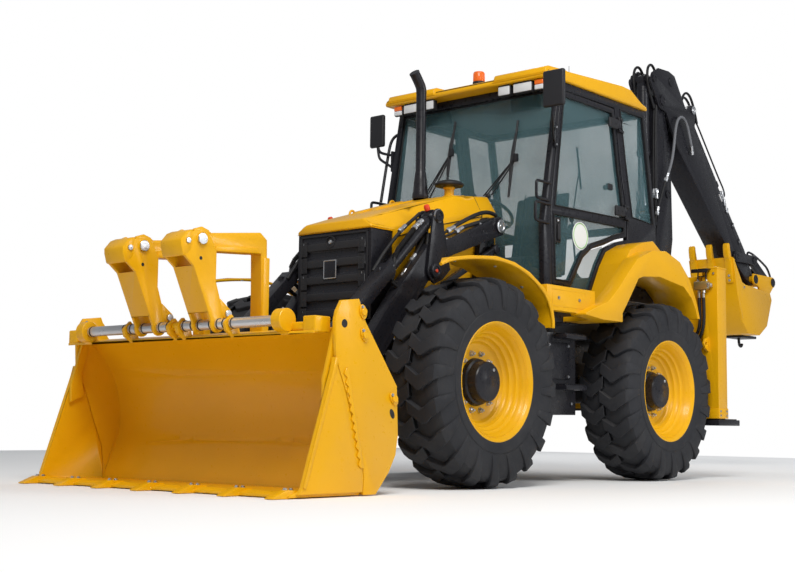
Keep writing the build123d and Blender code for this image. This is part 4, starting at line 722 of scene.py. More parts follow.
for rib in range(12):
    mat.append(block((0.745 + rib * 0.03, -0.69, 1.184), (0.757 + rib * 0.03, 0.69, 1.190), 0.002, 1))
done(mat, "floor_mat", mat_rubber)
pod = cut_plate([(1.083, 1.182), (1.083, 1.88), (1.02, 1.90), (0.965, 1.86), (0.93, 1.62), (0.965, 1.42),
                 (0.845, 1.36), (0.845, 1.182)], -0.295, 0.295, 0.02)
column = pipe([(0.985, 0, 1.60), (0.88, 0, 1.82), (0.765, 0, 2.02)], 0.036, 12, straight=True)
cowl = cut_plate([(1.0, 1.58), (0.88, 1.90), (0.80, 1.98), (0.775, 1.95), (0.90, 1.60)], -0.055, 0.055, 0.02)
side_console = cut_plate([(0.62, 1.41), (0.62, 1.78), (0.52, 1.86), (0.05, 1.86), (0.0, 1.80), (0.0, 1.41)],
                         -0.70, -0.40, 0.025)
done([pod, column, cowl, side_console], "dash_and_console", cab_trim)
clear()
bpy.ops.mesh.primitive_torus_add(major_radius=0.182, minor_radius=0.0135, major_segments=56,
                                 minor_segments=12)
rim = bpy.context.object
hub = turned([(-0.035, 0.03), (-0.02, 0.05), (0.0, 0.055), (0.012, 0.05), (0.015, 0.02)], 32)
spokes = [pipe([(0.04 * cos(radians(turn)), 0.04 * sin(radians(turn)), -0.012),
                (0.11 * cos(radians(turn)), 0.11 * sin(radians(turn)), -0.014),
                (0.178 * cos(radians(turn)), 0.178 * sin(radians(turn)), -0.002)], 0.013, 8)
          for turn in (0, 130, 230)]
grip = turned([(0.005, 0.012), (0.03, 0.012), (0.04, 0.022), (0.062, 0.024), (0.072, 0.016), (0.074, 0.006)],
              20)
moved(grip, (0.08, 0.163, 0))
steering = aim(joined([rim, hub, *spokes, grip]), (0.7485, 0, 2.052), (-0.53, 0, 0.848))
done(steering, "steering_wheel", moulded_black)
levers = []
for foot, head in (((0.50, -0.50, 1.85), (0.54, -0.49, 2.03)), ((0.42, -0.58, 1.85), (0.45, -0.57, 2.0)),
                   ((-0.15, 0.22, 1.60), (-0.10, 0.20, 2.12)), ((-0.15, -0.22, 1.60), (-0.10, -0.20, 2.12)),
                   ((1.0, 0.12, 1.88), (0.98, 0.16, 1.98))):
    run = Vector(head) - Vector(foot)
    levers.append(pipe([foot, tuple(Vector(foot) + run * 0.5), head], 0.008, 8, straight=True))
    levers.append(aim(turned([(-0.045, 0.010), (-0.035, 0.018), (0.0, 0.022), (0.03, 0.024), (0.045, 0.016),
                              (0.05, 0.006)], 20), head, run))
    levers.append(aim(turned([(-0.004, 0.045), (0.015, 0.04), (0.03, 0.022), (0.05, 0.014)], 24), foot, run))
done(levers, "control_levers", moulded_black)

# ------------------------------------------------------------------ seat
# A suspension seat that turns to face either way: a padded cushion and back in woven cloth with
# vinyl bolsters and sewn piping, armrests, and a rubber bellows over the scissor frame.


def woven(name, colour, thread=420.0):
    """Seat cloth: fine crossed threads with a soft sheen."""
    cloth = bpy.data.materials.new(name)
    cloth.use_nodes = True
    nodes, links = cloth.node_tree.nodes, cloth.node_tree.links
    shader = nodes["Principled BSDF"]
    place = nodes.new("ShaderNodeTexCoord")
    threads = []
    for direction in ("X", "Y", "Z"):
        wave = nodes.new("ShaderNodeTexWave")
        wave.bands_direction = direction
        put(wave, Scale=thread / 6.3, Distortion=0.4)
        links.new(place.outputs["Object"], wave.inputs["Vector"])
        threads.append(wave)
    cross, weave = nodes.new("ShaderNodeMath"), nodes.new("ShaderNodeMath")
    cross.operation = weave.operation = "MULTIPLY"
    links.new(threads[0].outputs["Fac"], cross.inputs[0])
    links.new(threads[1].outputs["Fac"], cross.inputs[1])
    links.new(cross.outputs["Value"], weave.inputs[0])
    links.new(threads[2].outputs["Fac"], weave.inputs[1])
    worn = nodes.new("ShaderNodeTexNoise")
    put(worn, Scale=7.0, Detail=6)
    links.new(place.outputs["Object"], worn.inputs["Vector"])
    tone = nodes.new("ShaderNodeMix")
    tone.data_type = "RGBA"
    put(tone, A=(*(channel * 0.75 for channel in colour), 1), B=(*(channel * 1.3 for channel in colour), 1))
    links.new(worn.outputs["Fac"], tone.inputs["Factor"])
    links.new(tone.outputs["Result"], shader.inputs["Base Color"])
    bump = nodes.new("ShaderNodeBump")
    put(bump, Strength=0.35, Distance=0.002)
    links.new(weave.outputs["Value"], bump.inputs["Height"])
    links.new(bump.outputs["Normal"], shader.inputs["Normal"])
    put(shader, Roughness=0.85, Sheen_Weight=0.25)
    return cloth


def padded(piece, cap, steps=20):
    """The pad swells under its cover until the cover is tight, and no point moves further than the cap."""
    modified(piece, "REMESH", mode="VOXEL", voxel_size=0.006)
    before = [corner.co.copy() for corner in piece.data.vertices]
    cover = piece.modifiers.new("cover", "CLOTH")
    cover.settings.use_pressure, cover.settings.uniform_pressure_force = True, 4.0
    cover.settings.effector_weights.gravity = 0.0
    cover.point_cache.frame_start, cover.point_cache.frame_end = 1, steps
    for step in range(1, steps + 1):
        bpy.context.scene.frame_set(step)
    swollen = piece.evaluated_get(bpy.context.evaluated_depsgraph_get()).to_mesh()
    after = [corner.co.copy() for corner in swollen.vertices]
    piece.modifiers.remove(cover)
    for corner, start, end in zip(piece.data.vertices, before, after):
        move = end - start
        corner.co = start + move * min(1.0, cap / max(move.length, 1e-6))
    bpy.context.scene.frame_set(1)
    return modified(piece, "SMOOTH", factor=0.5, iterations=4)


seat_cloth = woven("woven seat cloth", (0.045, 0.047, 0.052))
seat_vinyl = enamel("seat vinyl", (0.022, 0.023, 0.026), 0.5, dust=0.1, grain=300, pebble=0.3)
cushion_pad = block((0.075, -0.165, 1.635), (0.545, 0.165, 1.728), 0.03, 3)
bolsters = [block((0.075, side * 0.165, 1.64), (0.54, side * 0.24, 1.732), 0.03, 3)
            for side in (-1, 1)]
back_pad = cut_plate([(0.075, 1.75), (0.165, 1.75), (0.06, 2.31), (-0.025, 2.31)], -0.16, 0.16, 0.025)
back_bolsters = [cut_plate([(0.07, 1.76), (0.172, 1.76), (0.075, 2.28), (-0.02, 2.28)],
                           side * 0.16, side * 0.228, 0.025) for side in (-1, 1)]
for pad, name, finish, cap in ((cushion_pad, "seat_cushion", seat_cloth, 0.008),
                               (joined(bolsters), "seat_bolsters", seat_vinyl, 0.006),
                               (back_pad, "seat_back", seat_cloth, 0.008),
                               (joined(back_bolsters), "seat_back_bolsters", seat_vinyl, 0.006)):
    pad = done(padded(pad, cap), name, finish, "chassis", 60)
    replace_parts(pad, "seat")
piping = []
for side in (-1, 1):
    piping.append(pipe([(0.09, 0.165, 1.735), (0.30, 0.165, 1.742), (0.53, 0.165, 1.735),
                        (0.553, 0.165, 1.69), (0.545, 0.165, 1.64)], 0.0035, 6, side=side))
    piping.append(pipe([(0.175, 0.16, 1.77), (0.13, 0.16, 2.03), (0.072, 0.16, 2.29),
                        (0.03, 0.16, 2.322)], 0.0035, 6, side=side))
done(piping, "seat_piping", seat_vinyl)
seat_base = [block((0.08, -0.235, 1.60), (0.535, 0.235, 1.645), 0.012),
             cut_plate([(0.02, 1.62), (0.075, 1.62), (-0.025, 2.31), (-0.05, 2.31)], -0.22, 0.22, 0.01)]
for level in range(5):
    half = 0.15 if level % 2 else 0.135
    seat_base.append(block((0.30 - half, -half, 1.418 + level * 0.037),
                           (0.30 + half, half, 1.456 + level * 0.037), 0.012))
for side in (-1, 1):
    seat_base.append(cut_plate([(0.02, 1.93), (0.38, 1.95), (0.40, 1.98), (0.37, 2.0), (0.02, 1.985)],
                               side * 0.262, side * 0.312, 0.014))
    seat_base.append(pipe([(0.02, 0.21, 1.95), (0.02, 0.285, 1.955)], 0.018, 8, straight=True, side=side))
done(seat_base, "seat_frame", cab_trim)

# ------------------------------------------------------------------ door sticker
# A round white vinyl sticker, ringed in green and left blank, on the left door's lower pane.
sticker_white = enamel("plain white sticker", (0.82, 0.84, 0.82), 0.45, dust=0.02, grain=200,
                       pebble=0.02)
sticker_green = enamel("green sticker ring", (0.20, 0.56, 0.06), 0.45, dust=0.02, grain=200,
                       pebble=0.02)
sticker = turned([(0.0, 0.108), (0.0012, 0.107), (0.0014, 0.02)], 48)
done(aim(sticker, (0.633, 0.7605, 1.827), (0, 1, 0)), "door_sticker", sticker_white, "door_left")
ring = pipe([(0.633 + 0.094 * cos(step * pi / 18), 0.7615, 1.827 + 0.094 * sin(step * pi / 18))
             for step in range(37)], 0.0028, 6, straight=True)
done(ring, "door_sticker_ring", sticker_green, "door_left")

# ------------------------------------------------------------------ roof, glass and wipers
# A moulded yellow roof shell with a brow over each lamp cluster, lined inside with grey felt board;
# tinted safety glass; two wipers on the windscreen, one on the rear window.
eased("cab_roof", machine_yellow, 0.010)
lining = enamel("grey headlining", (0.16, 0.17, 0.18), 0.85, dust=0.05, grain=300, pebble=0.25)
done(block((-0.235, -0.725, 2.945), (0.895, 0.725, 2.9598), 0.006), "headlining", lining)
speakers = []
for side in (-1, 1):
    speakers.append(cut_plate([(0.905, 2.915), (0.87, 2.915), (0.845, 2.80), (0.86, 2.79), (0.89, 2.80)],
                            side * 0.30, side * 0.56, 0.010))
done(speakers, "cab_speakers", moulded_black)


def tinted(name, colour, cover):
    """Tinted safety glass: mostly clear, a little of its own colour, faintly smeared."""
    pane = bpy.data.materials.new(name)
    pane.use_nodes = True
    nodes, links = pane.node_tree.nodes, pane.node_tree.links
    shader = nodes["Principled BSDF"]
    place, smear, spread = (nodes.new("ShaderNode" + kind) for kind in ("TexCoord", "TexNoise", "MapRange"))
    put(smear, Scale=2.2, Detail=7)
    links.new(place.outputs["Object"], smear.inputs["Vector"])
    links.new(smear.outputs["Fac"], spread.inputs["Value"])
    put(spread, From_Min=0.3, From_Max=0.7, To_Min=cover * 0.85, To_Max=cover * 1.15)
    links.new(spread.outputs["Result"], shader.inputs["Alpha"])
    rough = nodes.new("ShaderNodeMapRange")
    links.new(smear.outputs["Fac"], rough.inputs["Value"])
    put(rough, To_Min=0.02, To_Max=0.09)
    links.new(rough.outputs["Result"], shader.inputs["Roughness"])
    put(shader, Base_Color=(*colour, 1), IOR=1.5)
    return pane


cab_pane = tinted("tinted cab glass", (0.085, 0.17, 0.19), 0.36)
dress(cab_pane, "cab_glass", "door_glass_left", "door_glass_right")
screen = [(-0.73, 1.425), (-0.73, 1.87), (-0.73, 2.893), (0.73, 2.893), (0.73, 1.87), (0.73, 1.425)]


def screen_x(z):
    """The windscreen's outer face at a height."""
    return 1.099 + (z - 1.42) * 0.0178 if z < 1.87 else 1.107 - (z - 1.87) * 0.1787


done(pipe([(screen_x(z), y, z) for y, z in screen + screen[:1]], 0.007, 6, straight=True), "windscreen_seal",
     black_rubber)


def wiper(name, pivot, elbow, low, high):
    """Twin arms from the scuttle to a blade that stands on the glass."""
    parts = [aim(turned([(-0.02, 0.02), (0.005, 0.02), (0.012, 0.014), (0.014, 0.008)], 20), pivot,
                 (1, 0, 0.1))]
    for shift in (-0.03, 0.0, 0.045):
        parts.append(pipe([(pivot[0] + 0.012, pivot[1] + shift, pivot[2]),
                           (elbow[0] + 0.010, elbow[1] + shift * 0.25, elbow[2])], 0.0055, 6, straight=True))
    blade = pipe([low, tuple((Vector(low) + Vector(high)) / 2 + Vector((0.006, 0, 0))), high], 0.009, 6)
    backing = pipe([tuple(Vector(low).lerp(Vector(high), share) + Vector((0.012 + lift, 0, 0)))
                    for share, lift in ((0.18, 0), (0.35, 0.012), (0.5, 0.022), (0.65, 0.012), (0.82, 0))],
                   0.006, 6)
    clip = block(tuple(Vector(elbow) - Vector((0.004, 0.018, 0.03))),
                 tuple(Vector(elbow) + Vector((0.028, 0.018, 0.03))), 0.006)
    return done(parts + [blade, backing, clip], name, moulded_black)


wiper("wiper_left", (screen_x(2.13) + 0.004, 0.21, 2.13), (screen_x(2.40) + 0.012, 0.45, 2.40),
      (screen_x(2.10) + 0.012, 0.415, 2.10), (screen_x(2.70) + 0.012, 0.425, 2.70))
wiper("wiper_right", (screen_x(2.13) + 0.004, -0.42, 2.13), (screen_x(2.50) + 0.012, -0.18, 2.52),
      (screen_x(2.24) + 0.012, -0.20, 2.24), (screen_x(2.78) + 0.012, -0.19, 2.78))
rear_wiper = [pipe([(-0.415, 0.0, 2.10), (-0.382, 0.05, 2.35), (-0.345, 0.12, 2.55)], 0.006, 6),
              pipe([(-0.372, 0.12, 2.40), (-0.345, 0.12, 2.55), (-0.31, 0.12, 2.75)], 0.009, 6),
              aim(turned([(-0.01, 0.03), (0.02, 0.03), (0.03, 0.018)], 24), (-0.405, 0.0, 2.085),
                  (-1, 0, 0.2))]
done(rear_wiper, "rear_wiper", moulded_black)

# ------------------------------------------------------------------ lamps, mirrors and handrails
# Square work lamps hang on steel clips under the roof's front edge with an amber-over-white marker
# outboard; mirrors stand on tube brackets, and bent-tube handrails flank the doors.
lamp_glass = enamel("lamp lens, ribbed", (0.72, 0.74, 0.76), 0.15, dust=0.02, drift=0.08,
                    grain=420, pebble=0.5)
amber_lens = enamel("amber lens", (0.85, 0.16, 0.01), 0.2, dust=0.02, drift=0.06, grain=380,
                    pebble=0.35, coat=0.4)
mirror_glass = enamel("mirror face", (0.82, 0.84, 0.86), 0.03, dust=0.02, metal=1.0, grain=20,
                      pebble=0.0)
beacon_place = (0.85, -0.04, 0)
post_x, post_y = 1.02, 0.79
housings, lenses, ambers, clips = [], [], [], []
for side in (-1, 1):
    for low_y, high_y in ((0.310, 0.430), (0.450, 0.630)):
        near, far = sorted((side * low_y, side * high_y))
        housings.append(block((1.032, near, 2.876), (1.077, far, 2.955), 0.010, 3))
        lenses.append(block((1.068, near + 0.008, 2.883), (1.083, far - 0.008, 2.950), 0.006, 2))
        middle = (near + far) / 2
        for shift in (-0.022, 0.022):
            clips.append(pipe([(1.06, middle + shift, 2.948), (1.074, middle + shift * 0.8, 2.966),
                               (1.076, middle + shift * 0.6, 2.985), (1.062, middle + shift * 0.6, 2.992)],
                              0.005, 6))
        clips.append(pipe([(1.082, near + 0.012, 2.953), (1.084, middle, 2.957), (1.082, far - 0.012, 2.953)],
                          0.0035, 6))
    near, far = sorted((side * 0.645, side * 0.730))
    housings.append(block((1.042, near, 2.876), (1.070, far, 2.955), 0.008, 3))
    lenses.append(block((1.058, near + 0.005, 2.880), (1.082, far - 0.005, 2.916), 0.006, 3))
    ambers.append(block((1.058, near + 0.005, 2.917), (1.083, far - 0.005, 2.953), 0.006, 3))
    for low_y, high_y in ((0.38, 0.52), (0.56, 0.70)):
        near, far = sorted((side * low_y, side * high_y))
        housings.append(block((-0.290, near, 2.972), (-0.262, far, 3.053), 0.009, 3))
        lenses.append(block((-0.299, near + 0.008, 2.980), (-0.284, far - 0.008, 3.046), 0.006, 2))
done(housings, "lamp_housings", moulded_black)
done(lenses, "lamp_lenses", lamp_glass)
done(ambers, "marker_lenses", amber_lens)
done(clips, "lamp_clips", satin_black)
base = turned([(3.042, 0.053), (3.072, 0.054), (3.078, 0.050), (3.094, 0.050), (3.098, 0.046)], 48)
done(moved(base, beacon_place), "beacon_base", moulded_black)
dome = [turned([(3.094, 0.044), (3.100, 0.046), (3.166, 0.045), (3.176, 0.040), (3.179, 0.028),
                (3.180, 0.004)], 48)]
for step in range(24):
    turn = radians(15 * step)
    dome.append(pipe([(0.0455 * cos(turn), 0.0455 * sin(turn), 3.102),
                      (0.0445 * cos(turn), 0.0445 * sin(turn), 3.165)], 0.0018, 6, straight=True))
done(moved(joined(dome), beacon_place), "beacon_dome", amber_lens)
aerial = [turned([(3.05, 0.016), (3.07, 0.014), (3.085, 0.007)], 20),
          pipe([(0, 0, 3.08), (0, 0, 3.13), (0, 0, 3.165)], 0.0028, 6)]
done(moved(joined(aerial), (0.6, 0.64, 0)), "aerial", zinc)
for side, label in both_sides:
    back, near_y, far_y = (1.312, 0.905, 1.085) if side > 0 else (1.034, 0.85, 1.0)
    near, far = sorted((side * near_y, side * far_y))
    shell = [block((back, near, 2.652), (back + 0.038, far, 2.918), 0.016, 4),
             block((back - 0.012, near + 0.02, 2.70), (back + 0.01, far - 0.02, 2.87), 0.012, 3)]
    done(shell, "mirror_" + label, moulded_black)
    done(block((back - 0.0015, near + 0.014, 2.664), (back + 0.0015, far - 0.014, 2.906), 0.001, 1),
         "mirror_face_" + label, mirror_glass)
    stem, middle_y = back + 0.018, (near_y + far_y) / 2
    bars = []
    for low_z, rise in ((2.475, 0.07), (2.575, 0.025)):
        # each tube leaves the corner post, bends out and forward, and turns up behind the mirror
        bends = [(post_x + (stem - post_x) * ahead_share, side * (post_y + (middle_y - post_y) * out_share),
                  low_z + rise * rise_share)
                 for ahead_share, out_share, rise_share in ((0, 0, 0), (0.45, 0.35, 0.5), (0.87, 0.8, 1))]
        bars.append(pipe(bends + [(stem, side * (middle_y - 0.01), low_z + rise + 0.03),
                                  (stem, side * middle_y, 2.70)], 0.011, 8))
    if side < 0:
        bars.append(pipe([(0.93, -0.785, 2.77), (0.96, -0.85, 2.745), (0.985, -0.855, 2.66),
                          (1.08, -0.855, 2.19), (1.13, -0.855, 1.95), (1.12, -0.79, 1.90)], 0.012, 10))
    bars.append(block((0.99, side * 0.781, 2.44), (1.03, side * 0.802, 2.61), 0.006))
    for low_z, high_z, reach in ((1.865, 2.005, 1.275), (2.03, 2.16, 1.262)):
        bars.append(pipe([(1.10, 0.792, low_z), (reach - 0.05, 0.795, low_z), (reach, 0.795, low_z),
                          (reach, 0.795, low_z + 0.03), (reach, 0.795, high_z - 0.03),
                          (reach, 0.795, high_z), (reach - 0.05, 0.795, high_z),
                          (1.08, 0.792, high_z)], 0.011, 8, side=side))
    done(bars, "mirror_bracket_and_handrails_" + label, satin_black)
    bolts("bracket_bolts_" + label, [((1.01, side * 0.802, z), (0, side, 0)) for z in (2.46, 2.59)], 0.007)
for label in ("left", "right"):
    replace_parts(bpy.data.objects["mirror_" + label], "cab_fittings")

# ------------------------------------------------------------------ loader arms
# Two welded box arms pinned to the towers, with a cross tube between their knees. Steel
# pipes and two hoses with crimped ends run along the top of each arm to the tilt cylinder.
chrome = enamel("hard chrome", (0.60, 0.63, 0.68), 0.1, dust=0.04, metal=1.0, grain=60,
                pebble=0.01)
hose_rubber = enamel("hydraulic hose", (0.014, 0.014, 0.016), 0.45, dust=0.15, grain=420,
                     pebble=0.2)
cap_red = enamel("red plastic cap", (0.72, 0.06, 0.015), 0.4, dust=0.05, grain=200,
                 pebble=0.05)
eased("loader_arms", satin_black, 0.004)
tilt_top, tilt_low = Vector((2.0444, 0, 1.8205)), Vector((3.2442, 0, 0.697))
lift_foot, lift_eye = Vector((1.05, 0, 0.62)), Vector((2.35, 0, 0.985))
cylinder_y = 0.455


def on_line(top, low, side):
    """Places beside a cylinder's line: distance along it, rise off it, half-width place across."""
    run = (low - top).normalized()
    rise = Vector((-run.z, 0, run.x)) if run.x > 0 else Vector((run.z, 0, -run.x))
    return lambda far, off, y: top + run * far + rise * off + Vector((0, side * y, 0))


def crimp(start, end, size=0.015, side=1):
    """A plated hose end between two points: crimped sleeve, collar and hexagon nut."""
    start, end = (Vector((x, side * y, z)) for x, y, z in (start, end))
    length = (end - start).length
    sleeve = turned([(0.0, size * 0.8), (length * 0.03, size), (length * 0.5, size),
                     (length * 0.54, size * 0.75), (length * 0.62, size * 0.75)], 16)
    nut = turned([(length * 0.6, size * 1.0), (length * 0.64, size * 1.2), (length * 0.94, size * 1.2),
                  (length, size)], 6)
    return aim(joined([sleeve, nut]), start, end - start)


def cylinder_dress(name, top, low, side, y, radius, length, body, rod_body, rod_radius, rod_from, rod_to):
    """A hydraulic cylinder's gland nut, wiper ring, end bands and ports, and its chromed rod."""
    place = on_line(top, low, side)
    run = (low - top).normalized()
    gland = turned([(0.0, radius + 0.001), (0.004, radius + 0.006), (0.046, radius + 0.006),
                    (0.05, radius + 0.001), (0.056, radius - 0.006), (0.062, rod_radius + 0.004)], 40)
    band = turned([(0.0, radius + 0.0008), (0.002, radius + 0.004), (0.02, radius + 0.004),
                   (0.022, radius + 0.0008)], 40)
    parts = [aim(gland, place(length - 0.052, 0, y), run), aim(band, place(0.09, 0, y), run)]
    for far in (0.12, length - 0.09):
        parts.append(block(place(far, radius + 0.006, y) - Vector((0.02, 0.018, 0.02)),
                           place(far, radius + 0.006, y) + Vector((0.02, 0.018, 0.02)), 0.004))
    done(parts, name + "_gland", satin_black, body)
    sleeve = aim(turned([(0.0, rod_radius), (0.001, rod_radius + 0.0006),
                         (rod_to - rod_from - 0.001, rod_radius + 0.0006), (rod_to - rod_from, rod_radius)],
                        32), place(rod_from, 0, y), run)
    done(sleeve, name + "_chrome", chrome, rod_body)


for side, label in both_sides:
    hoses, ends = [], []
    for route in ([(1.30, 0.462, 1.893), (1.43, 0.462, 1.872), (1.55, 0.462, 1.834), (1.66, 0.462, 1.80),
                   (1.70, 0.462, 1.786)], [(1.26, 0.435, 1.93), (1.33, 0.435, 1.955), (1.47, 0.435, 1.925),
                                           (1.62, 0.435, 1.856), (1.74, 0.435, 1.80), (1.76, 0.435, 1.786)]):
        hoses.append(pipe([(x, side * y, z) for x, y, z in route], 0.015, 12))
        x, y, z = route[-1]
        ends.append(crimp((x - 0.006, side * y, z + 0.002), (x + 0.075, side * y, z - 0.038), 0.017))
        hoses.append(pipe([(x + 0.07, side * y, z - 0.036), (x + 0.12, side * y, z - 0.06),
                           (1.95, side * y, 1.68), (2.02, side * y, 1.672)], 0.009, 10))
    done(hoses, "arm_hoses_" + label, hose_rubber, "loader_arms")
    for x in (1.50, 1.885):
        z = 1.907 - 0.401 * (x - 1.33)
        ends.append(block((x - 0.012, side * 0.42, z - 0.004), (x + 0.012, side * 0.48, z + 0.006), 0.002))
    done(ends, "arm_hose_ends_" + label, zinc, "loader_arms")

# ------------------------------------------------------------------ levers, links and tilt cylinders
# Flame-cut levers over the arms, levelling links below them, and a tilt cylinder on each
# side with a guard over its rod, spiral-wrapped hoses and crimped fittings.
for node in ("loader_levers", "levelling_links", "tilt_rods"):
    eased(node, satin_black, 0.003)
dress(satin_black, "tilt_barrels", "lift_barrels", "lift_base_pins")
dress(zinc, "tilt_pins", "bucket_pins")
dress(chrome, "lift_rods")
wraps, wrap_steps = 38, 8
for side, label in both_sides:
    place = on_line(tilt_top, tilt_low, side)
    cylinder_dress("tilt_cylinder_" + label, tilt_top, tilt_low, side, cylinder_y, 0.042, 0.76,
                   "tilt_barrels", "tilt_rods", 0.024, 0.42, 1.57)
    cylinder_dress("lift_cylinder_" + label, lift_foot, lift_eye, side, cylinder_y, 0.05, 1.25,
                   "lift_barrels", "lift_rods", 0.03, 1.0, 1.31)
    routes = (([(0.02, 0.05), (0.094, 0.058), (0.236, 0.082), (0.38, 0.078), (0.52, 0.072), (0.60, 0.06),
                (0.67, 0.048)], 0.40), ([(0.16, 0.058), (0.23, 0.063), (0.316, 0.064), (0.466, 0.058),
                                         (0.54, 0.03), (0.585, -0.03), (0.62, -0.05), (0.65, -0.046)], 0.485),
              ([(0.10, -0.06), (0.16, -0.085), (0.24, -0.098), (0.33, -0.108), (0.466, -0.128),
                (0.545, -0.15), (0.59, -0.12), (0.60, -0.075), (0.60, -0.035)], 0.44),
              ([(0.12, -0.06), (0.18, -0.12), (0.295, -0.146), (0.37, -0.155), (0.44, -0.163), (0.53, -0.185),
                (0.60, -0.165), (0.635, -0.12), (0.645, -0.035)], 0.475))
    hoses = [pipe([place(far, off, y) for far, off in route], 0.0125, 10) for route, y in routes]
    coil = []
    for step in range(wraps * wrap_steps + 1):
        share = step / (wraps * wrap_steps)
        far = 0.235 + 0.29 * share
        off = 0.063 - 0.006 * share if far < 0.46 else 0.057 - 0.3 * (far - 0.46)
        turn = 2 * pi * step / wrap_steps
        coil.append(place(far, off + 0.0155 * cos(turn), 0.485 + 0.0155 * sin(turn)))
    hoses.append(pipe(coil, 0.0022, 4, straight=True))
    done(hoses, "tilt_hoses_" + label, hose_rubber, "tilt_barrels")
    ends = [crimp(place(a, b, y), place(c, d, y), 0.0165)
            for a, b, c, d, y in ((0.20, 0.076, 0.28, 0.084, 0.40), (0.12, 0.052, 0.17, 0.06, 0.485),
                  (0.175, 0.06, 0.23, 0.064, 0.485), (0.29, -0.103, 0.36, -0.111, 0.44),
                  (0.27, -0.141, 0.34, -0.152, 0.475), (0.435, -0.122, 0.50, -0.136, 0.44),
                  (0.415, -0.16, 0.485, -0.171, 0.475))]
    done(ends, "tilt_hose_ends_" + label, zinc, "tilt_barrels")
    lever = [(2.072, 1.845), (2.108, 1.658), (2.130, 1.509), (2.132, 1.410), (2.115, 1.372), (2.075, 1.350),
             (1.99, 1.385), (1.905, 1.462), (1.945, 1.623), (1.975, 1.735), (1.997, 1.845), (2.018, 1.872),
             (2.05, 1.872)]
    done(cut_plate(lever, side * 0.5065, side * 0.5245, 0.003), "lever_plate_" + label,
         satin_black, "loader_levers")
    pin_ends("lever_pin_caps_" + label, [((2.078, side * 0.537, 1.437), side)], 0.05, satin_black,
             "loader_levers")
    done(aim(turned([(0.0, 0.012), (0.004, 0.012), (0.007, 0.008), (0.0075, 0.001)], 20),
             (2.078, side * 0.543, 1.437), (0, side, 0)), "lever_pin_plug_" + label, cap_red, "loader_levers")
    pin_ends("lever_top_caps_" + label, [((2.0444, side * 0.535, 1.8205), side)], 0.042, satin_black,
             "tilt_pins")
    done(aim(turned([(0.0, 0.02), (0.01, 0.021), (0.03, 0.02), (0.04, 0.014), (0.042, 0.002)], 20),
             (2.075, side * 0.455, 1.862), (0.5, 0, 1)), "grease_cap_" + label, cap_red, "tilt_barrels")
    pin_ends("bucket_pin_caps_" + label, [((3.1, side * 0.541, 0.34), side)], 0.046, zinc, "bucket_pins")

# ------------------------------------------------------------------ clam bucket
# A welded shell and a hinged clam front that part along a toothed joint: seven bolted
# teeth, keeper plates over the pins and a wear strip down each front edge.
tooth_pitch, bucket_side_y = 0.374, 1.1895
eased("bucket_shell", machine_yellow, 0.003)
eased("bucket_clam", machine_yellow, 0.003)
bolts("tooth_bolts", [((x, (index - 3) * tooth_pitch, z), (-0.08, 0, 1)) for index in range(7)
                      for x, z in ((4.0, 0.0428), (4.045, 0.0455))],
      0.014, "bucket_clam")


def oval(centre, long_half, short_half, lean, low_y, high_y, sides=20):
    """A plate with an oval outline, leaning by an angle in degrees."""
    turn = radians(lean)
    outline = []
    for step in range(sides):
        along, across = long_half * cos(2 * pi * step / sides), short_half * sin(2 * pi * step / sides)
        outline.append((centre[0] + along * cos(turn) - across * sin(turn), centre[1] + along * sin(turn)
                        + across * cos(turn)))
    return cut_plate(outline, low_y, high_y, 0.0015)


def toothed(start, end, teeth, depth, back):
    """A toothed strip's outline between two points of the side view."""
    start, end = Vector((start[0], 0, start[1])), Vector((end[0], 0, end[1]))
    run = end - start
    across = Vector((-run.z, 0, run.x)).normalized()
    outline = []
    for step in range(2 * teeth + 1):
        spot = start + run * (step / (2 * teeth)) + across * (depth if step % 2 else 0)
        outline.append((spot.x, spot.z))
    for spot in (end - across * back, start - across * back):
        outline.append((spot.x, spot.z))
    return outline


